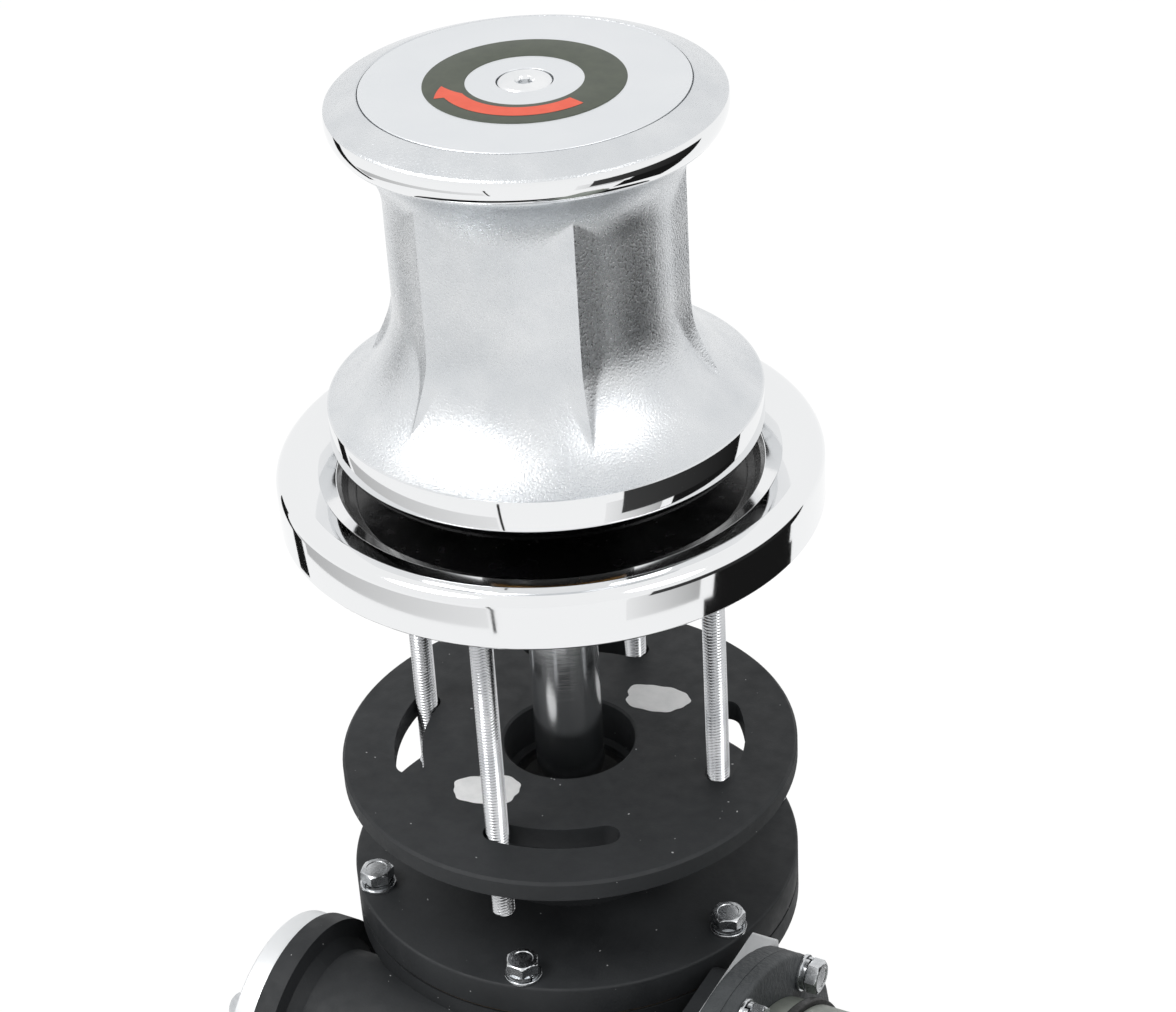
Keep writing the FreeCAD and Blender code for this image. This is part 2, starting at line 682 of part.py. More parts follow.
def make_worm_thread():
    """Right-hand trapezoid thread round Z: four helical faces, trimmed flat at both ends."""
    height = worm_turns * pitch
    corners = [(worm_foot_r, -worm_half_in), (worm_tip_r, -worm_half_out),
               (worm_tip_r, worm_half_out), (worm_foot_r, worm_half_in)]
    wires = [helix_at(r, dz - height / 2, height) for r, dz in corners]
    faces = []
    for k in range(4):
        faces += Part.makeRuledSurface(wires[k], wires[(k + 1) % 4]).Faces
    for z in (-height / 2, height / 2):
        faces.append(polygon([vec(r, 0, z + dz) for r, dz in corners]))
    thread = Part.makeSolid(Part.makeShell(faces))
    if thread.Volume < 0:
        thread.reverse()
    thread = thread.common(rod(worm_tip_r + 3, -worm_len / 2, worm_len / 2))
    # a quarter turn puts a groove opposite the wheel tooth that stands at the mid-plane
    return spun(thread, 90)


def make_worm_shaft():
    """Hardened worm with its journals."""
    left = left_bearing_x
    journal = worm_bearing_in_r
    end = worm_len / 2 + 3
    core = turned(
        (0, left), (journal - 1, left), (journal, left + 1), (journal, left + worm_bearing_w),
        (journal + 3, left + worm_bearing_w), (journal + 3, -end - 3), (worm_root_r, -end), (worm_root_r, end),
        (journal + 3, end + 3), (journal + 3, right_bearing_x), (journal, right_bearing_x),
        (journal, worm_end_x - 1), (journal - 1, worm_end_x), (0, worm_end_x))
    return on_worm_axis(make_worm_thread().fuse(core))


# ---------------------------------------------------------------- bearings
def bearing(inner_r, outer_r, width, low, race):
    """Sealed ball bearing from low upwards: the outer ring with its shields, and the inner ring."""
    step = (outer_r - race) * 0.4
    outer = turned((race + apart, low + 0.6), (outer_r - step, low), (outer_r, low), (outer_r, low + width),
                   (outer_r - step, low + width), (race + apart, low + width - 0.6))
    inner = turned((inner_r, low), (race - 0.4, low), (race, low + 0.4), (race, low + width - 0.4),
                   (race - 0.4, low + width), (inner_r, low + width))
    return outer, inner


# ---------------------------------------------------------------- gearbox housing
def make_gearbox_housing():
    """Cast bowl for the wheel with the worm tunnel running across its side."""
    bowl = turned(
        (0, housing_low_z), (lower_boss_r, housing_low_z), (lower_boss_r + 4, housing_floor_z - floor_h),
        (bowl_r - 10, housing_floor_z - floor_h),
        (bowl_r, housing_floor_z - floor_h + 10, bowl_r - 2.93, housing_floor_z - floor_h + 2.93),
        (bowl_r, housing_top_z - rim_h - 4), (cover_r, housing_top_z - rim_h + 2), (cover_r, housing_top_z),
        (0, housing_top_z))
    tunnel = on_worm_axis(turned(
        (0, left_flange_x), (left_flange_r, left_flange_x), (left_flange_r, left_flange_x + left_flange_h),
        (tunnel_r + 5, left_flange_x + left_flange_h + 1), (tunnel_r, left_flange_x + left_flange_h + 6),
        (tunnel_r, right_flange_x - 2), (0, right_flange_x - 2)))
    half = right_flange_half
    flange = box(right_flange_x - right_flange_h, right_flange_x, worm_axis_y - half, worm_axis_y + half,
                 worm_axis_z - half, worm_axis_z + half)
    long_edges = [e for e in flange.Edges if abs(e.BoundBox.XLength - right_flange_h) < 1e-6]
    flange = flange.makeFillet(8.0, long_edges)
    flange = flange.cut(rod(cover_r + 1.0, housing_top_z - 0.001, worm_axis_z + half + 1))
    body = bowl.fuse([tunnel, flange]).removeSplitter()
    inside = turned((0, housing_floor_z), (bowl_in_r - 6, housing_floor_z), (bowl_in_r, housing_floor_z + 6),
                    (bowl_in_r, housing_top_z + 1), (0, housing_top_z + 1))
    seat_low = rod(shaft_bearing_out_r, lower_bearing_low_z, housing_floor_z + 1)
    under_race = rod(race_r, lower_bearing_low_z - 1.5, lower_bearing_low_z + 1)
    worm_space = on_worm_axis(rod(tunnel_in_r, left_bearing_x + worm_bearing_w, right_bearing_x))
    worm_seats = on_worm_axis(rod(worm_bearing_out_r, left_flange_x - 1, right_flange_x + 1))
    bolt_holes = around(moved(rod(m8_r, housing_top_z - rim_h - 2, housing_top_z + 1), cover_bolt_circle_r),
                        cover_bolt_count, cover_bolt_turn)
    end_holes = [on_worm_axis(h) for h in
                 around(moved(rod(m6_r, left_flange_x - 1, left_flange_x + left_flange_h - 1), end_bolt_circle_r),
                        end_bolt_count, 45)]
    return body.cut([inside, seat_low, under_race, worm_space, worm_seats] + bolt_holes + end_holes
                    + plate_screw_rods(plate_screw_r, right_flange_x - right_flange_h - 1, right_flange_x + 1))


def plate_screw_rods(radius, x0, x1):
    """Four rods along X at the corners of the plate screw pattern."""
    rods = []
    for y in (-plate_screw_half, plate_screw_half):
        for z in (-plate_screw_half, plate_screw_half):
            rods.append(Part.makeCylinder(radius, x1 - x0, vec(x0, worm_axis_y + y, worm_axis_z + z), vec(1, 0, 0)))
    return rods


def make_end_cover():
    """Turned aluminium cover on the left flange, with a spigot that holds the worm bearing."""
    outer = left_flange_x - end_cover_h
    cover = turned((0, outer), (end_cover_r - 1, outer), (end_cover_r, outer + 1), (end_cover_r, left_flange_x),
                   (worm_bearing_out_r, left_flange_x), (worm_bearing_out_r, left_bearing_x),
                   (worm_race_r + 1.5, left_bearing_x), (worm_race_r + 1.5, left_flange_x), (0, left_flange_x))
    holes = around(moved(rod(m6_r + 0.3, outer - 1, left_flange_x + 1), end_bolt_circle_r), end_bolt_count, 45)
    return on_worm_axis(cover.cut(holes))


def end_fasteners():
    """Hexagon bolts and washers on the end cover, as two lists."""
    face = left_flange_x - end_cover_h
    seat_x = face - m6_washer_h
    bolt = hex_bolt(m6_r, m6_head_af, m6_head_h, m6_washer_h + end_cover_h + left_flange_h - 2)
    bolt = moved(spun(bolt, 180, axis=vec(1, 0, 0)), end_bolt_circle_r, z=seat_x)
    washer = moved(ring(m6_washer_r, m6_r + 0.2, seat_x, face), end_bolt_circle_r)
    return [[on_worm_axis(p) for p in around(piece, end_bolt_count, 45)] for piece in (bolt, washer)]


# ---------------------------------------------------------------- motor side
def make_motor_plate():
    """Square aluminium plate between the gearbox and the motor adapter."""
    half = motor_plate_half
    plate = box(plate_x, adapter_x, worm_axis_y - half, worm_axis_y + half, worm_axis_z - half, worm_axis_z + half)
    long_edges = [e for e in plate.Edges if abs(e.BoundBox.XLength - motor_plate_h) < 1e-6]
    plate = plate.makeFillet(motor_plate_corner, long_edges)
    spigot = on_worm_axis(ring(worm_bearing_out_r, worm_race_r + 1.5, right_bearing_x + worm_bearing_w, plate_x))
    seal_seat = on_worm_axis(rod(worm_bearing_in_r + 9, plate_x + 2, adapter_x + 1))
    bore = on_worm_axis(rod(worm_bearing_in_r + 2, plate_x - 1, adapter_x + 1))
    heads = plate_screw_rods(plate_screw_head_r + 0.3, adapter_x - 8.5, adapter_x + 1)
    screws = plate_screw_rods(plate_screw_r + 0.3, plate_x - 1, adapter_x + 1)
    return fused(plate, spigot).cut([seal_seat, bore] + heads + screws)


def make_plate_screws():
    screw = socket_screw(plate_screw_r, plate_screw_head_r, 8.0, motor_plate_h - 8.5 + right_flange_h - 1, 6.0)
    screw = spun(screw, 90, axis=vec(0, 1, 0))
    places = [(y, z) for y in (-plate_screw_half, plate_screw_half) for z in (-plate_screw_half, plate_screw_half)]
    return [moved(screw, adapter_x - 8.5, worm_axis_y + y, worm_axis_z + z) for y, z in places]


def make_worm_seal():
    inner = worm_bearing_in_r + running
    return on_worm_axis(turned((inner, plate_x + 2), (worm_bearing_in_r + 9, plate_x + 2),
                               (worm_bearing_in_r + 9, adapter_x), (worm_bearing_in_r + 6, adapter_x),
                               (inner + 3, plate_x + 4.5), (inner, plate_x + 6)))


def adapter_ring(x0, x1, corner0, corner1, bolt_r):
    """Round flange round the worm axis with a chamfer at each end and a ring of bolt holes."""
    disc = turned((adapter_bore_r, x0), (adapter_r - corner0, x0), (adapter_r, x0 + corner0),
                  (adapter_r, x1 - corner1), (adapter_r - corner1, x1), (adapter_bore_r, x1))
    holes = around(moved(rod(bolt_r, x0 - 1, x1 + 1), adapter_bolt_circle_r), adapter_bolt_count)
    return on_worm_axis(disc.cut(holes))


def make_motor_adapter():
    """Rough-cast adapter with tapped holes, behind the motor's own flange."""
    return adapter_ring(adapter_x, motor_flange_x, 1.5, 0.4, m8_r)


def make_motor_flange():
    return adapter_ring(motor_flange_x, bell_x, 0.4, 2.0, m8_r + 0.4)


def adapter_fasteners():
    """Hexagon bolts, spring washers and flat washers on the adapter's motor face."""
    at = adapter_bolt_circle_r
    flat_top = bell_x + m8_washer_h
    spring_top = flat_top + m8_spring_h
    length = spring_top - adapter_x - 1.5
    bolt = moved(hex_bolt(m8_r, m8_head_af, m8_head_h, length), at, z=spring_top)
    spring = moved(ring(m8_spring_r, m8_r + 0.2, flat_top, spring_top), at)
    flat = moved(ring(m8_washer_r, m8_r + 0.2, bell_x, flat_top), at)
    return [[on_worm_axis(p) for p in around(piece, adapter_bolt_count)] for piece in (bolt, spring, flat)]


def make_front_bell():
    """Front end bell of the motor: a plate with a spigot in the adapter and one in the can."""
    inner = motor_shaft_r + 8
    tube_r = can_r - can_wall
    spigot_r = adapter_bore_r
    bell_end = bell_x + bell_h
    bell = turned(
        (inner, bell_x), (spigot_r - 6, bell_x), (spigot_r - 6, motor_flange_x), (spigot_r, motor_flange_x),
        (spigot_r, bell_x), (bell_r - 1, bell_x), (bell_r, bell_x + 1), (bell_r, bell_end), (tube_r, bell_end),
        (tube_r, can_x + 4), (tube_r - 4, can_x + 4), (tube_r - 4, bell_end - 1), (inner, bell_end - 1))
    return on_worm_axis(bell)


def make_motor_band():
    """Black sealing ring in the joint between the front bell and the can."""
    return on_worm_axis(ring(band_r, can_r - can_wall, bell_x + bell_h, can_x))


def make_motor_can():
    return on_worm_axis(ring(can_r, can_r - can_wall, can_x, rear_x))


def magnet_out_r():
    return can_r - can_wall


def make_magnets():
    outer = magnet_out_r()
    inner = outer - magnet_h
    low = can_x + 14
    half = magnet_sweep / 2
    edges = [Part.Arc(polar(outer, -half, low), polar(outer, 0, low), polar(outer, half, low)).toShape(),
             Part.LineSegment(polar(outer, half, low), polar(inner, half, low)).toShape(),
             Part.Arc(polar(inner, half, low), polar(inner, 0, low), polar(inner, -half, low)).toShape(),
             Part.LineSegment(polar(inner, -half, low), polar(outer, -half, low)).toShape()]
    magnet = Part.Face(Part.Wire(edges)).extrude(vec(0, 0, magnet_len))
    return [on_worm_axis(m) for m in around(magnet, magnet_count, 45)]


def make_armature():
    """Laminated core with winding heads at both ends."""
    outer = magnet_out_r() - magnet_h - air_gap
    low = can_x + 14 + (magnet_len - armature_len) / 2
    high = low + armature_len
    core = turned((motor_shaft_r, low), (outer - 12, low - 6), (outer - 3, low - 4), (outer - 3, low + 6),
                  (outer, low + 6), (outer, high - 6), (outer - 3, high - 6), (outer - 3, high + 4),
                  (outer - 12, high + 6), (motor_shaft_r, high))
    return on_worm_axis(core)


def commutator_x():
    return can_x + 14 + (magnet_len + armature_len) / 2 + 6.5


def make_commutator():
    return on_worm_axis(ring(commutator_r, motor_shaft_r, commutator_x(), commutator_x() + commutator_len))


def make_motor_shaft():
    end = rear_x + rear_bell_h - 6
    shaft = turned((0, motor_shaft_x), (motor_shaft_r, motor_shaft_x), (motor_shaft_r, end - 1),
                   (motor_shaft_r - 1, end), (0, end))
    return on_worm_axis(shaft)


def make_coupling():
    """Steel sleeve that joins the worm to the motor shaft."""
    low = bell_x - 0.5 - coupling_len
    high = low + coupling_len
    sleeve = turned((worm_bearing_in_r, low), (coupling_r, low), (coupling_r, high), (motor_shaft_r, high),
                    (motor_shaft_r, worm_end_x + 0.5), (worm_bearing_in_r, worm_end_x + 0.5))
    return on_worm_axis(sleeve)


def make_front_bearing():
    """Plain sintered bush for the motor shaft in the front bell."""
    return on_worm_axis(ring(motor_shaft_r + 8, motor_shaft_r + running, bell_x, bell_x + bell_h - 1))


def make_rear_bell():
    bell = turned(
        (motor_shaft_r + 6, rear_x + 4), (can_r - can_wall - 4, rear_x + 4), (can_r - can_wall - 4, rear_x - 4),
        (can_r - can_wall, rear_x - 4), (can_r - can_wall, rear_x), (can_r, rear_x),
        (can_r, rear_x + rear_bell_h - 8), (can_r - 8, rear_x + rear_bell_h), (0, rear_x + rear_bell_h),
        (0, rear_x + rear_bell_h - 5), (motor_shaft_r + 6, rear_x + rear_bell_h - 5))
    holes = [spun(moved(rod(terminal_r + 0.01, rear_x, rear_x + rear_bell_h + 1), 34), a) for a in (-25, 25)]
    return on_worm_axis(bell.cut(holes))


def make_rear_bearing():
    return on_worm_axis(ring(motor_shaft_r + 6, motor_shaft_r + running, rear_x + 4, rear_x + rear_bell_h - 6))


def brush_parts():
    """Two carbon brushes on the commutator, each in its brass holder."""
    x = commutator_x() + commutator_len / 2
    brush = box(commutator_r + running, commutator_r + brush_len, -brush_w / 2, brush_w / 2, x - 7, x + 7)
    w = brush_w / 2 + holder_wall
    holder = box(commutator_r + 4, can_r, -w, w, x - 9, x + 9)
    holder = holder.common(rod(can_r - can_wall, x - 9, x + 9))
    holder = holder.cut(box(0, commutator_r + brush_len, -brush_w / 2, brush_w / 2, x - 7, x + 7))
    sides = (0, 180)
    return ([on_worm_axis(spun(brush, a)) for a in sides], [on_worm_axis(spun(holder, a)) for a in sides])


def terminal_parts():
    """Two threaded terminal studs on the rear bell, with insulators and nuts."""
    base = rear_x + rear_bell_h
    stud = moved(rod(terminal_r, rear_x + 5, base + terminal_len), 34)
    block = moved(ring(terminal_block, terminal_r, base, base + 4), 34)
    nut = hexagon(terminal_nut_af, base + 4).extrude(vec(0, 0, terminal_nut_h))
    nut = moved(nut.cut(rod(terminal_r, base, base + 20)), 34)
    angles = (-25, 25)
    return [[on_worm_axis(spun(p, a)) for a in angles] for p in (stud, block, nut)]


# ---------------------------------------------------------------- writing the parts
def save(name, shapes):
    shapes = shapes if isinstance(shapes, list) else [shapes]
    solids = [solid for shape in shapes for solid in shape.Solids]
    whole = solids[0] if len(solids) == 1 else Part.makeCompound(solids)
    if not whole.isValid():
        print("not valid:", name)
    whole.exportStep(os.path.join("parts", name + ".step"))
    print("%-24s solids %2d  volume %.1f" % (name, len(solids), sum(s.Volume for s in solids)))


def main():
    os.makedirs("parts", exist_ok=True)
    save("drum", make_drum())
    save("drum_cap", make_drum_cap())
    save("cap_label", make_cap_label())
    save("cap_screw", make_cap_screw())
    save("drum_key", key_slot(drum_key_len, shaft_top_z))
    save("thrust_washer", ring(washer_r, shaft_r + running, boss_h, boss_h + washer_h))
    save("deck_plate", make_deck_plate())
    save("deck_bush", make_deck_bush())
    save("deck_seal", make_deck_seal())
    save("deck_studs", make_studs())
    save("main_shaft", make_main_shaft())
    save("shaft_circlip", make_circlip())
    save("mounting_flange", make_mounting_flange())
    save("flange_seal", make_flange_seal())
    save("neck_screws", make_neck_screws())

    save("gearbox_cover", make_gearbox_cover())
    save("cover_gasket", make_cover_gasket())
    bolts, springs, flats = cover_fasteners()
    save("cover_bolts", bolts)
    save("cover_spring_washers", springs)
    save("cover_flat_washers", flats)

    save("worm_wheel", make_worm_wheel())
    save("wheel_hub", make_wheel_hub())
    save("wheel_screws", make_wheel_screws())
    save("wheel_spacer", make_wheel_spacer())
    save("wheel_key", key_slot(wheel_key_len, worm_axis_z + wheel_key_len / 2))
    pairs = [bearing(shaft_r, shaft_bearing_out_r, shaft_bearing_w, low, race_r)
             for low in (cover_low_z, lower_bearing_low_z)]
    save("shaft_bearing_outer", [outer for outer, inner in pairs])
    save("shaft_bearing_inner", [inner for outer, inner in pairs])
    save("gearbox_housing", make_gearbox_housing())

    save("worm_shaft", make_worm_shaft())
    pairs = [bearing(worm_bearing_in_r, worm_bearing_out_r, worm_bearing_w, low, worm_race_r)
             for low in (left_bearing_x, right_bearing_x)]
    save("worm_bearing_outer", [on_worm_axis(outer) for outer, inner in pairs])
    save("worm_bearing_inner", [on_worm_axis(inner) for outer, inner in pairs])
    save("end_cover", make_end_cover())
    bolts, flats = end_fasteners()
    save("end_cover_bolts", bolts)
    save("end_cover_washers", flats)

    save("motor_plate", make_motor_plate())
    save("plate_screws", make_plate_screws())
    save("worm_seal", make_worm_seal())
    save("motor_adapter", make_motor_adapter())
    save("motor_flange", make_motor_flange())
    bolts, springs, flats = adapter_fasteners()
    save("adapter_bolts", bolts)
    save("adapter_spring_washers", springs)
    save("adapter_flat_washers", flats)
    save("motor_front_bell", make_front_bell())
    save("motor_band", make_motor_band())
    save("motor_can", make_motor_can())
    save("field_magnets", make_magnets())
    save("armature", make_armature())
    save("commutator", make_commutator())
    save("motor_shaft", make_motor_shaft())
    save("shaft_coupling", make_coupling())
    save("front_bearing", make_front_bearing())
    save("motor_rear_bell", make_rear_bell())
    save("rear_bearing", make_rear_bearing())
    brushes, holders = brush_parts()
    save("carbon_brushes", brushes)
    save("brush_holders", holders)
    studs, blocks, nuts = terminal_parts()
    save("terminal_studs", studs)
    save("terminal_insulators", blocks)
    save("terminal_nuts", nuts)


main()
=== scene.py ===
"""Deck capstan: surfaces, finishes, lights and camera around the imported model."""

import json
import math

import bmesh
import bpy
import numpy as np
from mathutils import Matrix, Vector


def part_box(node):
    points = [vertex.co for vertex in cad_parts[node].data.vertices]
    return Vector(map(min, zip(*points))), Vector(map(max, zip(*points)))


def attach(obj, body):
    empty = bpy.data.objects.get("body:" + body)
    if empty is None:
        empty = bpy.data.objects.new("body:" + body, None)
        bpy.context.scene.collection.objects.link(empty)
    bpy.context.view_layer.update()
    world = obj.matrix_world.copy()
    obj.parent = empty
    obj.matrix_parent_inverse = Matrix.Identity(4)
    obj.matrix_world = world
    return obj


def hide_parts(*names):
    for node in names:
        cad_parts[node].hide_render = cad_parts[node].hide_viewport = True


bl_info = {
    "name": "Deck Capstan",
    "version": (1, 0, 0),
    "blender": (4, 5, 0),
    "location": "3D View > Sidebar > Capstan",
    "description": "Builds the visible surfaces and finishes of a deck capstan on its worm gearbox",
    "category": "Object",
}

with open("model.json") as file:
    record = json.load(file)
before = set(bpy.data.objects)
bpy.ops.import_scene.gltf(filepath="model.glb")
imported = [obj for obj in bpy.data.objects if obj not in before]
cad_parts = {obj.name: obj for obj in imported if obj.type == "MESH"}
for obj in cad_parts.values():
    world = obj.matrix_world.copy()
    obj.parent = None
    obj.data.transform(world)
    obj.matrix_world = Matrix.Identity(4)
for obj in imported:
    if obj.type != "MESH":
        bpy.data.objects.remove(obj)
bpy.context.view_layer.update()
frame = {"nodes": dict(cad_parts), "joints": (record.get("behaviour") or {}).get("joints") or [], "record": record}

MM = 0.001
LOW = {name: np.array(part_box(name)[0]) / MM for name in frame["nodes"]}
HIGH = {name: np.array(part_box(name)[1]) / MM for name in frame["nodes"]}
WORM = next(np.array(j["pos_m"]) / MM for j in frame["joints"] if j["name"] == "worm_spin")
STUD_CIRCLE = 70.998    # radius of the studs' circle
STUD_TURN = -88.0       # direction of the first stud, in degrees from X
VIEW_TURN = 29.7        # degrees from -Y to the side that the camera looks from
EYE_REACH = 985.0       # distance from the drum's axis to the camera
EYE_HEIGHT = 613.3      # height of the camera over the deck


# ------------------------------------------------------------------ sizes and colours a user may change
def length(name, description, value):
    return bpy.props.FloatProperty(name=name, description=description, default=value * MM, unit="LENGTH")


def colour(name, description, hex_code):
    return bpy.props.FloatVectorProperty(
        name=name, description=description, default=linear(hex_code)[:3], size=3, subtype="COLOR",
        min=0, max=1)


def linear(hex_code):
    """One sRGB hex code as linear red, green, blue and alpha, by the standard curve."""
    s = np.array([int(hex_code[i:i + 2], 16) for i in (1, 3, 5)]) / 255.0
    rgb = np.where(s <= 0.04045, s / 12.92, ((s + 0.055) / 1.055) ** 2.4)
    return (*rgb.tolist(), 1.0)


class CAPSTAN_PG_drum(bpy.types.PropertyGroup):
    """Sizes of the drum's skin"""
    rib_half: length("Rib half width", "Half the width of a rib at its foot", 10.8)
    rib_turn: bpy.props.FloatProperty(
        name="First rib", description="Direction of the first rib from X", default=math.radians(-47),
        subtype="ANGLE")
    grain: length("Blasting grain", "Size of the pits left by the blasting", 0.9)
    polish: length("Polished band", "Height of the polished band on the skirt", 16.0)


class CAPSTAN_PG_fasteners(bpy.types.PropertyGroup):
    """Sizes of the fasteners"""
    stud_pitch: length("Stud pitch", "Thread pitch of the deck studs", 1.5)
    stud_depth: length("Stud thread depth", "Depth of the deck studs' thread", 0.75)
    hex_large: length("Large hexagon", "Across flats of the cover and adapter bolts", 13.0)
    hex_small: length("Small hexagon", "Across flats of the end cover bolts", 10.0)


class CAPSTAN_PG_colours(bpy.types.PropertyGroup):
    """Base colours of the finishes"""
    chrome: colour("Chrome", "Bright chrome plate", "#EDEEEF")
    blasted: colour("Blasted chrome", "Blasted and plated casting", "#DFE1E3")
    cap: colour("Cap", "Satin metal of the cap", "#E6E8EA")
    foil: colour("Foil", "Printed ring on the cap", "#4E5448")
    arrow: colour("Arrow", "Arrow on the printed ring", "#E9634A")
    paint: colour("Paint", "Black paint of the gearbox", "#26282A")
    casting: colour("Casting", "Rough casting of the motor adapter", "#3C3F41")
    can: colour("Can", "Passivated motor can", "#8F948C")


# ------------------------------------------------------------------ surfaces
def rounded(corners, steps=5):
    """A profile with its corners rounded. Each corner is (r, z, radius). The arc of a corner touches
    both of its sides at radius over the tangent of half the angle between them, and its points lie
    evenly along that arc."""
    pts = np.array([c[:2] for c in corners], float)
    out = []
    last = len(pts) - 1
    for i, corner in enumerate(corners):
        radius = corner[2] if len(corner) > 2 else 0.0
        if radius <= 0 or i in (0, last):
            out.append(pts[i][None])
            continue
        a, b = pts[i - 1] - pts[i], pts[i + 1] - pts[i]
        a, b = a / np.linalg.norm(a), b / np.linalg.norm(b)
        half = 0.5 * math.acos(float(np.clip(a @ b, -1, 1)))
        middle = pts[i] + (a + b) / np.linalg.norm(a + b) * radius / math.sin(half)
        start, end = pts[i] + a * radius / math.tan(half), pts[i] + b * radius / math.tan(half)
        u, v = start - middle, end - middle
        sweep = math.pi - 2 * half
        t = np.linspace(0, 1, steps + 1)[:, None]
        out.append(middle + (np.sin((1 - t) * sweep) * u + np.sin(t * sweep) * v) / math.sin(sweep))
    return np.concatenate(out)


def hexagon_radius(flats, a):
    """Radius of a hexagon at angles a: half its width over flats, over the cosine of the angle to the
    middle of the nearest flat."""
    return flats / 2 / np.cos((a + math.pi / 6) % (math.pi / 3) - math.pi / 6)


def arc(cr, cz, radius, start, end, steps):
    """Points of a circle in the profile plane about (cr, cz), from one angle to another in degrees."""
    a = np.radians(np.linspace(start, end, steps))
    return np.column_stack([cr + radius * np.cos(a), cz + radius * np.sin(a)])


def grid_faces(rows, cols, wrap_rows=False, wrap_cols=True):
    """Quads between neighbouring rows and columns of a grid whose points are stored row by row."""
    i = np.arange(rows if wrap_rows else rows - 1)[:, None]
    j = np.arange(cols if wrap_cols else cols - 1)[None, :]
    i2, j2 = (i + 1) % rows, (j + 1) % cols
    return np.stack([i * cols + j, i * cols + j2, i2 * cols + j2, i2 * cols + j], -1).reshape(-1, 4)


def full_turn(cols):
    return np.linspace(0, 2 * math.pi, cols, endpoint=False)


def polar(r, a, z):
    """Points (r cos a, r sin a, z) for a grid of radii, with one angle a column and one height a row."""
    return np.stack([r * np.cos(a), r * np.sin(a), np.repeat(z[:, None], len(a), 1)], -1)


def lathe(profile, cols=128):
    """Surface of revolution of a profile of (r, z). Points on the axis are later merged into one pole."""
    r, z = np.asarray(profile, float).T
    return polar(r[:, None], full_turn(cols), z).reshape(-1, 3), grid_faces(len(r), cols)


def copies(pts, faces, places):
    """The same surface at several places, each place being a 3 by 3 turn and a shift."""
    all_pts = [pts @ turn.T + shift for turn, shift in places]
    all_faces = [faces + k * len(pts) for k in range(len(places))]
    return np.concatenate(all_pts), np.concatenate(all_faces)


def turn_z(degrees):
    c, s = math.cos(math.radians(degrees)), math.sin(math.radians(degrees))
    return np.array([[c, -s, 0], [s, c, 0], [0, 0, 1.0]])


# a surface built round Z is laid along the worm axis: its Z becomes X, its X becomes up
LAY = np.array([[0, 0, 1.0], [0, -1.0, 0], [1.0, 0, 0]])


def on_worm(pts):
    return pts @ LAY.T + np.array([0, WORM[1], WORM[2]])


def piece(name, pts, faces, body, nodes, slot, finish, sharp=32.0, attributes=None, mend=True):
    """A mesh from arrays in millimetres. It rides on a body and stands for its CAD nodes. Its edges are
    sharp where two faces meet at more than the given angle. Mending merges its doubles and turns its
    faces outwards."""
    mesh = bpy.data.meshes.new(name)
    faces = faces.tolist() if isinstance(faces, np.ndarray) else faces
    mesh.from_pydata((np.asarray(pts) * MM).tolist(), [], faces)
    for key, values in (attributes or {}).items():
        mesh.attributes.new(key, "FLOAT", "POINT").data.foreach_set("value", np.asarray(values, np.float32))
    obj = bpy.data.objects.new(name, mesh)
    bpy.context.scene.collection.objects.link(obj)
    if mend:
        bm = bmesh.new()
        bm.from_mesh(mesh)
        bmesh.ops.remove_doubles(bm, verts=bm.verts, dist=2e-6)
        bmesh.ops.dissolve_degenerate(bm, edges=bm.edges, dist=1e-7)
        bmesh.ops.recalc_face_normals(bm, faces=bm.faces)
        bm.to_mesh(mesh)
        bm.free()
    mesh.polygons.foreach_set("use_smooth", np.ones(len(mesh.polygons), bool))
    mesh.set_sharp_from_angle(angle=math.radians(sharp))
    mesh.materials.append(finish)
    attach(obj, body)
    if nodes:
        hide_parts(*nodes)
    return obj


# ------------------------------------------------------------------ finishes
def add(tree, kind, links=None, **settings):
    """A node of that kind with its settings. A link is a socket's name or number with a value or another
    socket."""
    node = tree.nodes.new("ShaderNode" + kind)
    for key, value in settings.items():
        setattr(node, key, value)
    for key, value in (links or {}).items():
        if isinstance(value, bpy.types.NodeSocket):
            tree.links.new(value, node.inputs[key])
        else:
            node.inputs[key].default_value = value
    return node


def new_finish(name, **sockets):
    """A material with a Principled surface whose plain values stand on its sockets."""
    made = bpy.data.materials.new(name)
    made.use_nodes = True
    tree = made.node_tree
    tree.nodes.clear()
    plain = {key.replace("_", " ").title().replace("Ior", "IOR"): value for key, value in sockets.items()}
    bsdf = add(tree, "BsdfPrincipled", plain)
    out = add(tree, "OutputMaterial", {"Surface": bsdf.outputs[0]})
    return made, tree, bsdf, out


def place(tree):
    """Object coordinates of the piece, in metres."""
    return add(tree, "TexCoord").outputs["Object"]


def noise(tree, size_mm, detail=3.0, rough=0.55, at=None):
    """Noise whose blobs are about size_mm across."""
    return add(tree, "TexNoise", {"Vector": at or place(tree), "Scale": 1000.0 / size_mm, "Detail": detail,
                                  "Roughness": rough}).outputs["Fac"]


def between(tree, value, low, high, to_low=0.0, to_high=1.0):
    """The value carried from one range to another, held at the ends."""
    return add(tree, "MapRange", {"Value": value, "From Min": low, "From Max": high, "To Min": to_low,
                                  "To Max": to_high}).outputs[0]


def blend_colour(tree, share, first, second):
    """A mix of two colours by a share from 0 to 1."""
    mixed = add(tree, "Mix", data_type="RGBA")
    for socket, value in ((mixed.inputs[0], share), (mixed.inputs[6], first), (mixed.inputs[7], second)):
        if isinstance(value, bpy.types.NodeSocket):
            tree.links.new(value, socket)
        else:
            socket.default_value = value
    return mixed.outputs[2]


def bump(tree, bsdf, height, depth_mm, strength=1.0):
    """Relief of that depth from a height between 0 and 1."""
    made = add(tree, "Bump", {"Height": height, "Distance": depth_mm * MM, "Strength": strength})
    tree.links.new(made.outputs[0], bsdf.inputs["Normal"])
    return made


def rgba(value):
    return (*tuple(value)[:3], 1.0)


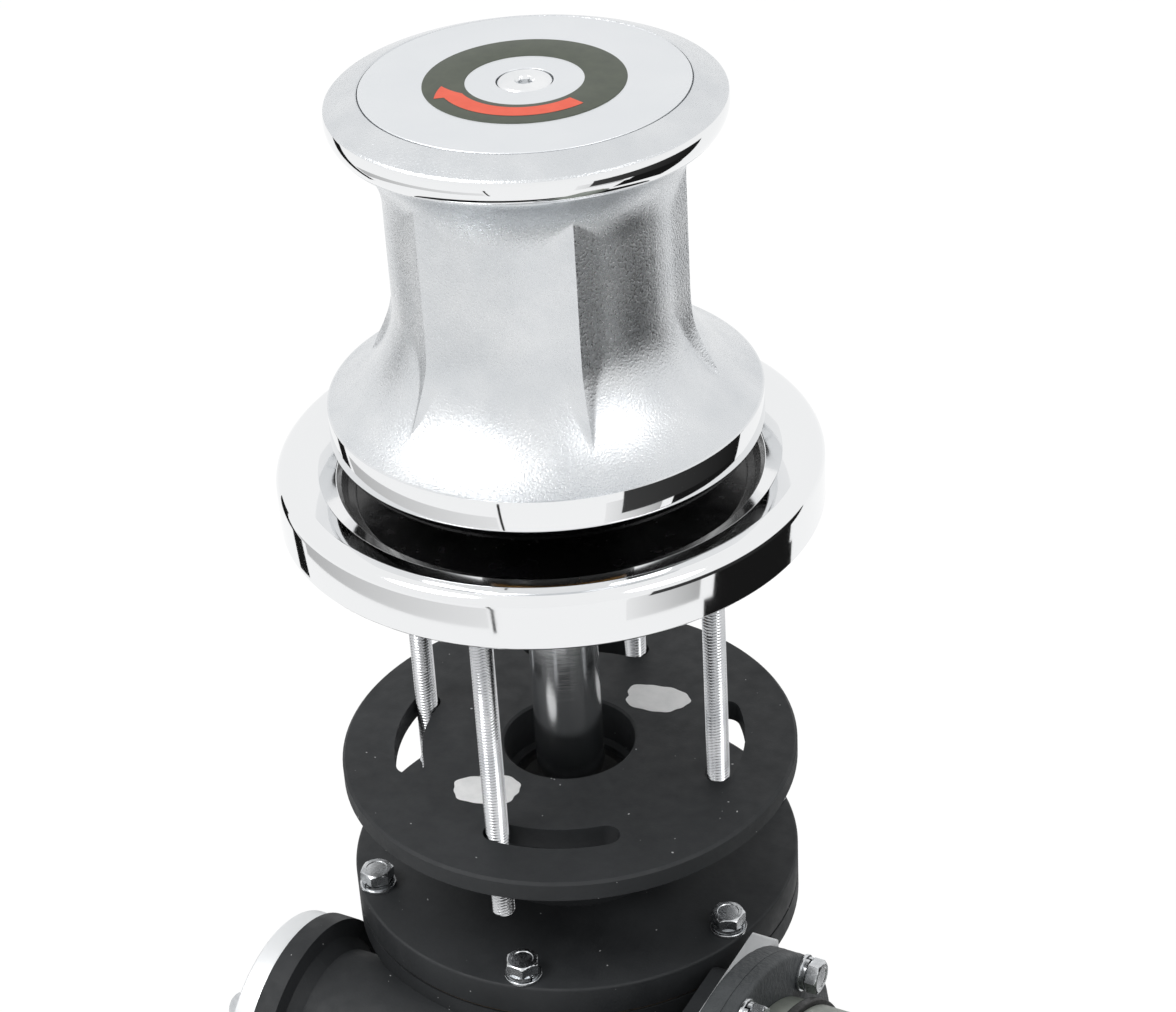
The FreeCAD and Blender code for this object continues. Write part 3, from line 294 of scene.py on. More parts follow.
def bright_chrome(c):
    """Chrome plate over a buffed casting: a mirror with a faint haze where wheel marks remain."""
    made, tree, bsdf, _ = new_finish("Bright chrome plate", base_color=rgba(c.chrome), metallic=1.0)
    haze = noise(tree, 40.0, 4.0)
    tree.links.new(between(tree, haze, 0.35, 0.7, 0.035, 0.075), bsdf.inputs["Roughness"])
    return made


def blasted_chrome(c, grain_mm):
    """Blasted casting under chrome: grit pits scatter the light. Buffed bands, where polish is 1, stay a
    mirror."""
    made, tree, bsdf, _ = new_finish("Blasted chrome plate", metallic=1.0)
    polish = add(tree, "Attribute", attribute_name="polish", attribute_type="GEOMETRY").outputs["Fac"]
    grit = noise(tree, grain_mm, 2.0, 0.6)
    cloud = noise(tree, 22.0, 3.0)
    tone = blend_colour(tree, between(tree, cloud, 0.3, 0.7), rgba(c.blasted), linear("#D2D5D8"))
    tree.links.new(blend_colour(tree, polish, tone, rgba(c.chrome)), bsdf.inputs["Base Color"])
    rough = between(tree, grit, 0.3, 0.7, 0.23, 0.36)
    mixed = add(tree, "Mix", {"Factor": polish, 2: rough, 3: 0.04}, data_type="FLOAT")
    tree.links.new(mixed.outputs[0], bsdf.inputs["Roughness"])
    relief = bump(tree, bsdf, grit, 0.20)
    depth = add(tree, "Math", {0: 1.0, 1: polish}, operation="SUBTRACT")
    tree.links.new(depth.outputs[0], relief.inputs["Strength"])
    return made


def satin_cap(c):
    """Fine-blasted stainless steel: even, pale and soft, with grain too fine to see one by one."""
    made, tree, bsdf, _ = new_finish("Satin stainless steel", metallic=1.0)
    fine = noise(tree, 0.7, 2.0)
    cloud = noise(tree, 30.0, 2.0)
    tree.links.new(blend_colour(tree, cloud, rgba(c.cap), linear("#DEE1E4")), bsdf.inputs["Base Color"])
    tree.links.new(between(tree, fine, 0.3, 0.7, 0.34, 0.42), bsdf.inputs["Roughness"])
    bump(tree, bsdf, fine, 0.02)
    return made


def printed_foil(name, base, second):
    """Printed vinyl foil: matte ink with slight mottling and a soft sheen."""
    made, tree, bsdf, _ = new_finish(name, roughness=0.5, specular_ior_level=0.4)
    mottle = noise(tree, 6.0, 3.0)
    tree.links.new(blend_colour(tree, between(tree, mottle, 0.3, 0.7), base, second),
                   bsdf.inputs["Base Color"])
    bump(tree, bsdf, noise(tree, 0.5), 0.01)
    return made


def turned_steel(name, first, second, rough, axis):
    """Turned or ground steel: rings round the piece's axis, a tool's feed of 0.4 mm apart."""
    made, tree, bsdf, _ = new_finish(name, metallic=1.0)
    at = add(tree, "Mapping", {"Vector": place(tree), "Scale": axis}).outputs[0]
    rings = noise(tree, 0.4, 1.0, 0.5, at)
    cloud = noise(tree, 25.0, 3.0)
    tree.links.new(blend_colour(tree, between(tree, cloud, 0.35, 0.65), linear(first), linear(second)),
                   bsdf.inputs["Base Color"])
    tree.links.new(between(tree, rings, 0.3, 0.7, rough * 0.8, rough * 1.25), bsdf.inputs["Roughness"])
    bump(tree, bsdf, rings, 0.001)
    return made


def zinc_plate(name, first, second, rough):
    """Bright zinc on cold-formed steel: pale, slightly cloudy, with small bright nicks."""
    made, tree, bsdf, _ = new_finish(name, metallic=1.0)
    cloud = noise(tree, 4.0, 4.0)
    tree.links.new(blend_colour(tree, between(tree, cloud, 0.35, 0.65), linear(first), linear(second)),
                   bsdf.inputs["Base Color"])
    tree.links.new(between(tree, cloud, 0.3, 0.7, rough * 0.7, rough * 1.3), bsdf.inputs["Roughness"])
    bump(tree, bsdf, noise(tree, 1.2), 0.02)
    return made


def black_paint(name, base, spread, grain_mm, depth_mm):
    """Thick black paint over a casting: orange-peel relief, dusty patches and a few pale chips."""
    made, tree, bsdf, _ = new_finish(name, specular_ior_level=0.35)
    dust = between(tree, noise(tree, 35.0, 5.0, 0.6), 0.35, 0.75)
    tone = blend_colour(tree, dust, base, linear(spread))
    chips = between(tree, noise(tree, 2.2, 1.0, 0.4), 0.80, 0.82)
    tree.links.new(blend_colour(tree, chips, tone, linear("#C9CACB")), bsdf.inputs["Base Color"])
    tree.links.new(between(tree, noise(tree, 9.0), 0.3, 0.7, 0.50, 0.68), bsdf.inputs["Roughness"])
    bump(tree, bsdf, noise(tree, grain_mm, 3.0), depth_mm)
    return made


def shade_enamel(name):
    """Black enamel in a casting's hollow: deep and glossy, its near-black painted shade for the dark gap under the
    drum, with a few pale grains of dust.
    """
    made, tree, bsdf, _ = new_finish(name, specular_ior_level=0.5)
    dust = between(tree, noise(tree, 1.6, 1.0, 0.4), 0.76, 0.80)
    # painted shade: the near-black base colour stands for the shade that falls in the hollows under the drum
    tree.links.new(blend_colour(tree, dust, linear("#0B0B0C"), linear("#4A4B4C")),
                   bsdf.inputs["Base Color"])
    tree.links.new(between(tree, noise(tree, 12.0), 0.3, 0.7, 0.16, 0.30), bsdf.inputs["Roughness"])
    bump(tree, bsdf, noise(tree, 2.5), 0.03)
    return made


def machined_aluminium():
    """Milled aluminium: pale grey with faint straight cutter lines."""
    made, tree, bsdf, _ = new_finish("Milled aluminium", metallic=0.6)
    at = add(tree, "Mapping", {"Vector": place(tree), "Scale": (1.0, 0.04, 1.0)}).outputs[0]
    lines = noise(tree, 0.9, 2.0, 0.5, at)
    tree.links.new(blend_colour(tree, noise(tree, 18.0), linear("#EDEFF0"), linear("#E2E4E6")),
                   bsdf.inputs["Base Color"])
    tree.links.new(between(tree, lines, 0.3, 0.7, 0.36, 0.48), bsdf.inputs["Roughness"])
    bump(tree, bsdf, lines, 0.02)
    return made


def plain_finish(name, first, second, metallic, rough, grain_mm, depth_mm):
    """A two-tone finish with its own grain, for rubber, bronze, magnets and other inner pieces."""
    made, tree, bsdf, _ = new_finish(name, metallic=metallic)
    share = between(tree, noise(tree, grain_mm * 6, 4.0), 0.3, 0.7)
    tree.links.new(blend_colour(tree, share, linear(first), linear(second)), bsdf.inputs["Base Color"])
    tree.links.new(between(tree, noise(tree, grain_mm * 2), 0.3, 0.7, rough * 0.85, rough * 1.15),
                   bsdf.inputs["Roughness"])
    bump(tree, bsdf, noise(tree, grain_mm), depth_mm)
    return made


def finishes():
    """All finishes by name, made once."""
    found = bpy.data.materials.get
    scene = bpy.context.scene
    c = scene.capstan_colours
    if not found("Bright chrome plate"):
        bright_chrome(c)
        blasted_chrome(c, scene.capstan_drum.grain / MM)
        satin_cap(c)
        printed_foil("Printed foil", rgba(c.foil), linear("#454B41"))
        printed_foil("Arrow ink", rgba(c.arrow), linear("#E25B43"))
        printed_foil("Bare pad", linear("#F6F6F6"), linear("#EAEBEB"))
        turned_steel("Ground stainless steel", "#F0F1F2", "#E2E4E6", 0.20, (0.05, 0.05, 1.0))
        turned_steel("Thread-rolled stainless steel", "#D0D1D3", "#BDBFC2", 0.22, (1.0, 1.0, 1.0))
        turned_steel("Bearing steel", "#A9ABAF", "#95989C", 0.20, (1.0, 0.1, 0.1))
        zinc_plate("Bright zinc plate", "#D3D5D7", "#BFC2C5", 0.24)
        zinc_plate("Plain steel", "#A4A6A8", "#8D9094", 0.32)
        black_paint("Black gearbox paint", rgba(c.paint), "#303234", 1.1, 0.06)
        black_paint("Painted rough casting", rgba(c.casting), "#515456", 2.2, 0.75)
        machined_aluminium()
        # near-black enamel, painted shade for the hollows under the drum
        shade_enamel("Black enamel")
        plain_finish("Passivated steel", "#8F948C", "#81867F", 0.35, 0.42, 1.4, 0.02)
        plain_finish("Cast bronze", "#B4884E", "#9C7340", 1.0, 0.34, 1.0, 0.02)
        plain_finish("Nitrile rubber", "#141414", "#1C1C1C", 0.0, 0.6, 0.8, 0.03)
        plain_finish("Ferrite magnet", "#38393B", "#2C2D2F", 0.0, 0.7, 0.8, 0.03)
        plain_finish("Commutator copper", "#BC7A50", "#A5683F", 1.0, 0.3, 1.0, 0.01)
        plain_finish("Carbon brush", "#202021", "#2B2B2C", 0.1, 0.6, 0.5, 0.02)
        plain_finish("Moulded phenolic", "#1A1A1C", "#222224", 0.0, 0.35, 1.5, 0.01)
        plain_finish("Gasket paper", "#5A4C3B", "#4A3F31", 0.0, 0.8, 0.6, 0.03)
        plain_finish("Key steel", "#8E9195", "#7C7F83", 1.0, 0.36, 1.0, 0.02)
    return {m.name: m for m in bpy.data.materials}


# ------------------------------------------------------------------ drum and its furniture
def drum_profile():
    """Outer profile of the drum, from the skirt's bottom edge to the seam of the cap: a straight band, a
    hollow arc that sweeps into the waist, a second hollow arc and the round head. It comes with each
    point's share of polish."""
    skirt, top, waist, head, head_z = 88.8, 51.8, 58.5, 78.0, 176.8
    flare_r, throat_r, head_r = 50.0, 33.0, 12.0
    reach = waist + flare_r - (skirt - 0.3)
    waist_low = top + math.sqrt(flare_r ** 2 - reach ** 2)
    head_c = (head - head_r, head_z)
    waist_high = head_z - math.sqrt((head_r + throat_r) ** 2 - (waist + throat_r - head_c[0]) ** 2)
    lean = math.degrees(math.acos(reach / flare_r))
    rise = math.degrees(math.atan2(head_z - waist_high, head_c[0] - waist - throat_r))
    edge = rounded([(81.0, 33.4, 0), (skirt - 3.5, 32.5, 1.2), (skirt, 38.5, 1.6),
                    (skirt, top - 0.2, 0)], 6)
    parts = [
        (edge, 1.0),
        (np.array([(skirt - 0.05, top - 0.08), (skirt - 0.3, top)]), 0.5),
        (arc(waist + flare_r, waist_low, flare_r, 180 + lean, 180, 70)[1:], 0.0),
        (np.column_stack([np.full(22, waist), np.linspace(waist_low, waist_high, 24)[1:-1]]), 0.0),
        (arc(waist + throat_r, waist_high, throat_r, 180, rise, 40), 0.0),
        (arc(*head_c, head_r, rise - 180, -37, 8)[1:], 0.0),
        (arc(*head_c, head_r, -36, 14, 20), 1.0),
        (rounded([(77.58, 179.9, 0), (76.9, 180.6, 0.5), (64.9, 185.35, 0.3), (64.3, 184.9, 0)], 4), 0.0),
        (np.array([(64.15, 176.6), (60.0, 176.4)]), 0.3),
    ]
    return np.concatenate([p for p, _ in parts]), np.concatenate([np.full(len(p), s) for p, s in parts])


def rib_radius(z, a, half, foot):
    """Radius of a rib's two flat flanks at height z and at angle a from its crest: where a ray at that
    angle meets the straight line from the crest (crest, 0) to the foot (foot, half)."""
    crest = np.interp(z, [61, 64, 68, 72, 76, 80, 84, 88, 92, 100, 156],
                      [73.6, 72.3, 70.5, 68.6, 66.6, 64.9, 63.5, 62.5, 62.0, 61.7, 61.7])
    crest = np.where((z < 61) | (z > 158), 0.0, crest)
    return crest / (np.cos(a) + (crest - foot) * np.abs(np.sin(a)) / half)


class CAPSTAN_OT_drum(bpy.types.Operator):
    """Build the ribbed drum with its blasted waist and polished rims"""
    bl_idname = "capstan.drum"
    bl_label = "Drum"

    def execute(self, context):
        """The drum is its profile turned round Z, with each point's radius raised to the rib's flank where
        that is greater. A smooth maximum joins the two: half the sum, plus half the root of the
        difference squared and a small constant, which rounds the crease."""
        sizes = context.scene.capstan_drum
        profile, polish = drum_profile()
        period = math.pi / 3
        near = np.radians(np.linspace(-14, 14, 57))
        far = np.linspace(near[-1], period + near[0], 24)[1:-1]
        a = np.concatenate([np.concatenate([near, far]) + k * period for k in range(6)]) + sizes.rib_turn
        local = np.concatenate([np.concatenate([near, np.where(far > period / 2, far - period, far)])] * 6)
        r, z = profile.T
        body = np.repeat(r[:, None], len(a), 1)
        rib = rib_radius(z[:, None], local[None, :], sizes.rib_half / MM, 57.6)
        d = rib - body
        lifted = 0.5 * (rib + body + np.sqrt(d * d + 0.25))
        on = (np.abs(local) < math.radians(24))[None, :] & (polish < 0.2)[:, None]
        skin = np.where(on & (d > -3.0), lifted, body)
        found = finishes()
        piece("drum_skin", polar(skin, a, z).reshape(-1, 3), grid_faces(len(z), len(a)), "output", ["drum"],
              "chrome", found["Blasted chrome plate"], 24.0, {"polish": np.repeat(polish, len(a))})
        # the hollow inside the drum takes the near-black enamel, painted shade for the dark gap under it
        lining = rounded([(81.0, 33.4, 0), (80.5, 46.0, 4), (62.0, 62.0, 12), (50.5, 84.0, 16),
                          (49.3, 150.0, 4), (44.0, 162.0, 4), (24.0, 162.0, 0), (24.0, 31.5, 0.5),
                          (15.3, 31.5, 0)], 5)
        piece("drum_lining", *lathe(lining, 96), "output", None, "chrome", found["Black enamel"])
        return {"FINISHED"}


class CAPSTAN_OT_cap(bpy.types.Operator):
    """Build the satin cap, its printed ring with an arrow, and its screw"""
    bl_idname = "capstan.cap"
    bl_label = "Cap"

    def execute(self, context):
        """The cap and screw are turned profiles. The arrow is a band between two radii, which widens into
        a head by the angle along the ring."""
        found = finishes()
        top = HIGH["drum"][2]
        cap = rounded([(11.1, top - 3.2, 0), (11.1, top + 0.45, 0.25), (22.7, top + 0.42, 0.1),
                       (39.5, top + 0.25, 0.1), (63.95, top, 0.45), (63.95, top - 8.9, 0.3),
                       (5.2, top - 8.9, 0), (5.2, top - 3.2, 0)], 5)
        piece("cap_disc", *lathe(np.vstack([cap, cap[:1]]), 180), "output", ["drum_cap"], "satin_cap",
              found["Satin stainless steel"])
        ring = rounded([(22.9, top - 0.3, 0), (22.9, top + 0.62, 0.2), (39.3, top + 0.50, 0.2),
                        (39.3, top - 0.3, 0)], 4)
        piece("label_ring", *lathe(np.vstack([ring, ring[:1]]), 180), "output", ["cap_label"], "label",
              found["Printed foil"])
        t = np.linspace(0, 1, 61)
        a = np.radians(np.interp(t, [0, 0.8, 0.8001, 1], [-20.0, -129.0, -129.0, -148.0]))
        half = np.interp(t, [0, 0.8, 0.8001, 1], [3.7, 3.7, 5.8, 0.05])
        middle = np.interp(t, [0, 0.8, 0.8001, 1], [29.3, 29.3, 31.4, 31.7])
        r = middle + np.linspace(-1, 1, 7)[:, None] * half
        flat = np.stack([r * np.cos(a), r * np.sin(a), top + 0.66 - (r - 31.2) * 0.0075], -1)
        piece("label_arrow", flat.reshape(-1, 3), grid_faces(7, 61, wrap_cols=False), "output", None,
              "label", found["Arrow ink"])
        hexagon = 3.0 / math.cos(math.pi / 6)
        a = full_turn(96)
        flat = hexagon_radius(6.0, a)
        screw = rounded([(hexagon, top - 0.6, 0), (hexagon + 0.4, top + 0.55, 0.2), (9.9, top + 0.55, 0.35),
                         (10.6, top - 0.1, 0.3), (10.6, top - 2.1, 0), (5.0, top - 2.1, 0)], 5)
        pts, faces = lathe(screw, 96)
        pts = pts.reshape(-1, 96, 3)
        pts[0, :, 0], pts[0, :, 1] = flat * np.cos(a), flat * np.sin(a)
        well = np.stack([np.stack([flat * np.cos(a) * s, flat * np.sin(a) * s, np.full(96, top - d)], -1)
                         for s, d in ((0.0, 3.2), (1.0, 3.0))])
        pts = np.concatenate([well, pts])
        piece("cap_screw_head", pts.reshape(-1, 3), grid_faces(len(pts), 96), "output", ["cap_screw"],
              "stainless", found["Ground stainless steel"])
        return {"FINISHED"}


class CAPSTAN_OT_deck_plate(bpy.types.Operator):
    """Build the polished deck plate with its recess and bush housing"""
    bl_idname = "capstan.deck_plate"
    bl_label = "Deck plate"

    def execute(self, context):
        """Two turned profiles: the outer wall with its rounded crest, falling top and bevel, and the
        recess."""
        edge = HIGH["deck_plate"][0]
        found = finishes()
        chrome = rounded([(84.0, 0.3, 0), (edge - 1.0, 0, 0), (edge, 1.0, 0.5), (edge, 23.6, 5.0),
                          (edge - 8.2, 23.75, 2.5), (95.6, 21.2, 2.0), (88.4, 17.3, 1.6), (87.4, 15.6, 0.5),
                          (86.6, 14.2, 0)], 8)
        piece("deck_plate_skin", *lathe(chrome, 240), "base", ["deck_plate"], "chrome",
              found["Bright chrome plate"], 40.0)
        # the recess takes the near-black enamel, painted shade for the dark gap under the drum
        black = rounded([(86.6, 14.2, 0), (84.2, 10.5, 1.5), (81.0, 8.0, 1.5), (30.0, 8.0, 2.5),
                         (27.0, 12.0, 1.0), (27.0, 28.9, 0.6), (19.05, 28.9, 0), (19.05, 0, 0),
                         (84.0, 0.3, 0)], 8)
        piece("deck_plate_recess", *lathe(black, 240), "base", None, "chrome", found["Black enamel"], 40.0)
        return {"FINISHED"}


# ------------------------------------------------------------------ studs, shaft and bolts
class CAPSTAN_OT_studs(bpy.types.Operator):
    """Build the threaded deck studs and the ground shaft"""
    bl_idname = "capstan.studs"
    bl_label = "Studs and shaft"

    def execute(self, context):
        """A stud's radius is the crest radius less the thread depth times a triangle wave of height over
        pitch less angle over a full turn, so the crest climbs one pitch a turn. The lower end is
        chamfered."""
        sizes = context.scene.capstan_fasteners
        found = finishes()
        pitch, depth = sizes.stud_pitch / MM, sizes.stud_depth / MM
        low, high = LOW["deck_studs"][2], -0.2
        cols, per_turn = 20, 6
        rows = int((high - low) / pitch * per_turn)
        z = np.linspace(low, high, rows)
        a = full_turn(cols)
        phase = (z[:, None] / pitch - a / (2 * math.pi)) % 1.0
        wave = np.clip(np.abs(2 * phase - 1) * 1.15 - 0.08, 0, 1)
        r = np.minimum(5.0 - depth * wave, 4.0 + (z[:, None] - low) * 1.2)
        pts = polar(r, a, z).reshape(-1, 3)
        ends = np.array([[0, 0, low], [0, 0, high]])
        ring = np.arange(cols)
        nxt, n = (ring + 1) % cols, len(pts)
        # a cap's triangle is stored as a quad that comes back to its first point, which is dropped later
        low_cap = np.stack([np.full(cols, n), nxt, ring, np.full(cols, n)], -1)
        top_cap = np.stack([np.full(cols, n + 1), ring + n - cols, nxt + n - cols, np.full(cols, n + 1)], -1)
        places = [(np.eye(3), turn_z(STUD_TURN + 90 * k) @ np.array([STUD_CIRCLE, 0, 0])) for k in range(4)]
        quads = np.concatenate([grid_faces(rows, cols), low_cap, top_cap])
        pts, quads = copies(np.concatenate([pts, ends]), quads, places)
        piece("stud_threads", pts, [tuple(dict.fromkeys(f)) for f in quads.tolist()], "base", ["deck_studs"],
              "stainless", found["Thread-rolled stainless steel"], 50.0, mend=False)
        shaft = rounded([(0, LOW["main_shaft"][2], 0), (15.0, LOW["main_shaft"][2], 1.0),
                         (15.0, HIGH["main_shaft"][2], 1.0), (0, HIGH["main_shaft"][2], 0)], 3)
        piece("shaft_bar", *lathe(shaft, 128), "output", ["main_shaft"], "stainless",
              found["Ground stainless steel"])
        return {"FINISHED"}


def hex_head(flats, head_h, shank_r, shank_len):
    """Hexagon bolt round Z with its bearing face at 0. Its radius is the lesser of the hexagon's and that
    of a cone, which cuts the top corners back."""
    cols = 72
    a = full_turn(cols)
    hexagon = hexagon_radius(flats, a)
    z = np.concatenate([np.linspace(0.0, head_h * 0.55, 3), np.linspace(head_h * 0.6, head_h, 9)])
    cone = flats * 0.475 + (head_h - z) * 1.75
    side = np.minimum(hexagon[None, :], cone[:, None])
    under = np.repeat(np.array([[0.0], [shank_r], [shank_r]]), cols, 1)
    inner = np.repeat(np.array([[flats * 0.36], [flats * 0.34], [0.0]]), cols, 1)
    r = np.concatenate([under, side[:1] * 0.97, side, inner])
    heights = np.concatenate([[-shank_len, -shank_len, 0.0, 0.0], z, [head_h, head_h - 0.25, head_h - 0.25]])
    return polar(r, a, heights).reshape(-1, 3), grid_faces(len(heights), cols)


def flat_washer(outer, inner, height):
    """Flat washer with rounded edges, standing on 0."""
    e = 0.3
    p = rounded([(inner, height / 2, 0), (inner, 0, e), (outer, 0, e), (outer, height, e),
                 (inner, height, e), (inner, height / 2, 0)], 3)
    return lathe(p, 64)


def spring_washer(outer, inner, height, rise=0.5):
    """Split washer: a square section carried round almost a full turn while it climbs by the rise."""
    t = np.linspace(math.radians(4), math.radians(356), 65)[:, None]
    square = np.array([(inner, 0.0), (outer, 0.0), (outer, height - rise), (inner, height - rise)])
    climb = rise * (t / (2 * math.pi))
    r, z = square[:, 0][None, :], square[:, 1][None, :] + climb
    pts = np.stack([r * np.cos(t), r * np.sin(t), z], -1).reshape(-1, 3)
    faces = grid_faces(65, 4, wrap_rows=False, wrap_cols=True)
    return pts, np.concatenate([faces, [[0, 1, 2, 3], [256, 257, 258, 259]]])


class CAPSTAN_OT_bolts(bpy.types.Operator):
    """Build the hexagon bolts and washers of the cover, the adapter and the end cover"""
    bl_idname = "capstan.bolts"
    bl_label = "Bolts and washers"

    def execute(self, context):
        """Each bolt and washer is made once and carried to its places, each time turned differently."""
        sizes = context.scene.capstan_fasteners
        big, small = sizes.hex_large / MM, sizes.hex_small / MM
        zinc = finishes()["Bright zinc plate"]
        spins = (11.0, 38.0, 52.0, 3.0, 27.0, 44.0, 19.0, 33.0)

        def circle(count, first, radius, height, flip=np.eye(3)):
            turns = [turn_z(first + 360 / count * k) for k in range(count)]
            return [(turn @ turn_z(spin) @ flip, turn @ np.array([radius, 0, 0]) + up * height)
                    for turn, spin in zip(turns, spins)]

        up = np.array([0, 0, 1.0])
        cover = circle(6, -17, 91.5, LOW["cover_flat_washers"][2])
        adapter = circle(8, 0, 84.0, LOW["adapter_flat_washers"][0])
        end = circle(4, 45, 39.0, HIGH["end_cover_washers"][0], np.diag([1.0, -1.0, -1.0]))
        split, plain = spring_washer(7.2, 4.2, 2.2), flat_washer(8.0, 4.2, 1.6)
        for name, shape, lift, places, node in (
                ("cover_hex_bolts", hex_head(big, 5.3, 4.0, 20.0), 3.8, cover, "cover_bolts"),
                ("cover_split_washers", split, 1.6, cover, "cover_spring_washers"),
                ("cover_plain_washers", plain, 0.0, cover, "cover_flat_washers"),
                ("adapter_hex_bolts", hex_head(big, 5.3, 4.0, 14.0), 3.8, adapter, "adapter_bolts"),
                ("adapter_split_washers", split, 1.6, adapter, "adapter_spring_washers"),
                ("adapter_plain_washers", plain, 0.0, adapter, "adapter_flat_washers"),
                ("end_hex_bolts", hex_head(small, 4.0, 3.0, 14.0), 1.6, end, "end_cover_bolts"),
                ("end_plain_washers", flat_washer(6.0, 3.2, 1.6), 0.0, end, "end_cover_washers")):
            pts, faces = copies(shape[0] + up * lift, shape[1], places)
            pts = pts if places is cover else on_worm(pts)
            piece(name, pts, faces, "base", [node], "zinc", zinc, 28.0)
        return {"FINISHED"}


# ------------------------------------------------------------------ gearbox and motor
class CAPSTAN_OT_gearbox(bpy.types.Operator):
    """Build the turned cover, the end cover and the two bare pads on the flange"""
    bl_idname = "capstan.gearbox"
    bl_label = "Gearbox"

    def execute(self, context):
        """Cover and end cover are turned profiles. A pad's outline is a rounded box whose radius swings
        with three waves of angle, filled by rings that shrink to its middle."""
        found = finishes()
        top, low, edge = HIGH["gearbox_cover"][2], LOW["gearbox_cover"][2], HIGH["gearbox_cover"][0]
        cover = rounded([(22.0, top, 0), (edge, top, 1.2), (edge, low, 0.6), (27.5, low, 0.2),
                         (27.5, low + 13, 0), (22.0, low + 13, 0), (22.0, top, 0)], 5)
        piece("cover_disc", *lathe(cover, 240), "base", ["gearbox_cover"], "black_paint",
              found["Black gearbox paint"])
        x0, x1 = LOW["end_cover"][0], HIGH["end_cover"][0]
        face = x1 - 4.0
        end = rounded([(0, x0, 0), (49.0, x0, 1.0), (49.0, face, 0.3), (26.0, face, 0), (26.0, x1, 0),
                       (18.5, x1, 0), (18.5, face, 0), (0, face, 0)], 5)
        pts, faces = lathe(end, 160)
        piece("end_cover_disc", on_worm(pts), faces, "base", ["end_cover"], "aluminium",
              found["Milled aluminium"])
        level = HIGH["mounting_flange"][2]
        a = full_turn(72)
        rings = np.array([1.0, 1.0, 0.985, 0.6, 0.0])[:, None]
        heights = np.array([-0.05, 0.12, 0.2, 0.22, 0.22])[:, None]
        for k, (r, turn, long_side, short_side, wave) in enumerate((
                (46.7, 60.5, 14.2, 9.4, 0.6), (49.8, -108.0, 14.2, 10.0, 2.1))):
            swing = (1 + 0.05 * np.sin(3 * a + wave) + 0.035 * np.sin(5 * a + 2 * wave)
                     + 0.02 * np.sin(11 * a))
            box = (np.abs(np.cos(a)) ** 2.6 + np.abs(np.sin(a)) ** 2.6) ** (-1 / 2.6)
            x, y = long_side * box * swing * np.cos(a), short_side * box * swing * np.sin(a)
            pts = np.stack([x * rings, y * rings, np.repeat(heights, 72, 1)], -1).reshape(-1, 3)
            centre = np.array([r * math.cos(math.radians(turn)), r * math.sin(math.radians(turn)), level])
            piece("flange_pad_%d" % (k + 1), pts @ turn_z(turn - 52.0).T + centre, grid_faces(5, 72), "base",
                  None, "label", found["Bare pad"])
        return {"FINISHED"}


class CAPSTAN_OT_motor(bpy.types.Operator):
    """Build the motor's adapter, flange, bells and can"""
    bl_idname = "capstan.motor"
    bl_label = "Motor"

    def execute(self, context):
        """Turned profiles along the worm axis. A sum of sine waves of angle and length pulls the castings'
        skin in by up to 0.36 mm, which leaves the wavy look of a sand mould."""
        found = finishes()
        half = (HIGH["motor_adapter"][1] - LOW["motor_adapter"][1]) / 2
        for name, node, e0, e1 in (("adapter_casting", "motor_adapter", 1.5, 0.5),
                                   ("motor_flange_casting", "motor_flange", 0.5, 2.0)):
            x0, x1 = LOW[node][0], HIGH[node][0]
            wall = [(half, x, 0) for x in np.linspace(x0 + 2.2, x1 - 2.2, 9)]
            ring = rounded([(46.0, x0, 0), (half, x0, e0), *wall, (half, x1, e1), (46.0, x1, 0),
                            (46.0, x0, 0)], 4)
            pts, faces = lathe(ring, 260)
            a, r = np.arctan2(pts[:, 1], pts[:, 0]), np.hypot(pts[:, 0], pts[:, 1])
            z = pts[:, 2]
            wave = (np.sin(47 * a + 1.1 * z) + np.sin(71 * a - 1.7 * z) + np.sin(23 * a)) / 3
            push = np.where(r > half - 3.0, -0.18 * (1 + wave), 0.0)
            pts[:, :2] *= ((r + push) / r)[:, None]
            piece(name, on_worm(pts), faces, "base", [node], "rough_black", found["Painted rough casting"])
        band0, band1 = LOW["motor_band"][0], HIGH["motor_band"][0]
        can_end, rear = HIGH["motor_can"][0], HIGH["motor_rear_bell"][0]
        can_r = (HIGH["motor_can"][1] - LOW["motor_can"][1]) / 2
        bell_r, tube, band_r = can_r - 0.2, can_r - 4.5, can_r + 2.1
        lip = tube - 4
        face = HIGH["motor_flange"][0]
        shapes = (
            ("front_bell_turning", "motor_front_bell", "passivated", "Passivated steel",
             [(16.5, face, 0), (40.0, face, 0), (40.0, face - 6.5, 0), (46.0, face - 6.5, 0), (46.0, face, 0),
              (bell_r, face, 1.0), (bell_r, band0, 0.3), (tube, band0, 0), (tube, band1 + 4, 0),
              (lip, band1 + 4, 0), (lip, band0 - 1, 0), (16.5, band0 - 1, 0), (16.5, face, 0)]),
            ("band_moulding", "motor_band", "rubber", "Nitrile rubber",
             [(tube, band0, 0), (band_r, band0, 0.8), (band_r, band1, 0.8), (tube, band1, 0),
              (tube, band0, 0)]),
            ("can_tube", "motor_can", "passivated", "Passivated steel",
             [(tube, band1, 0), (can_r, band1, 0.6), (can_r, can_end, 0.4), (tube, can_end, 0),
              (tube, band1, 0)]),
            ("rear_bell_casting", "motor_rear_bell", "passivated", "Passivated steel",
             [(14.5, can_end + 4, 0), (lip, can_end + 4, 0), (lip, can_end - 4, 0), (tube, can_end - 4, 0),
              (tube, can_end, 0), (can_r, can_end, 0.4), (can_r, rear - 8, 6.0), (can_r - 8, rear, 3.0),
              (0, rear, 0), (0, rear - 5, 0), (14.5, rear - 5, 0), (14.5, can_end + 4, 0)]))
        for name, node, slot, finish, corners in shapes:
            pts, faces = lathe(rounded(corners, 5), 200)
            piece(name, on_worm(pts), faces, "base", [node], slot, found[finish])
        return {"FINISHED"}


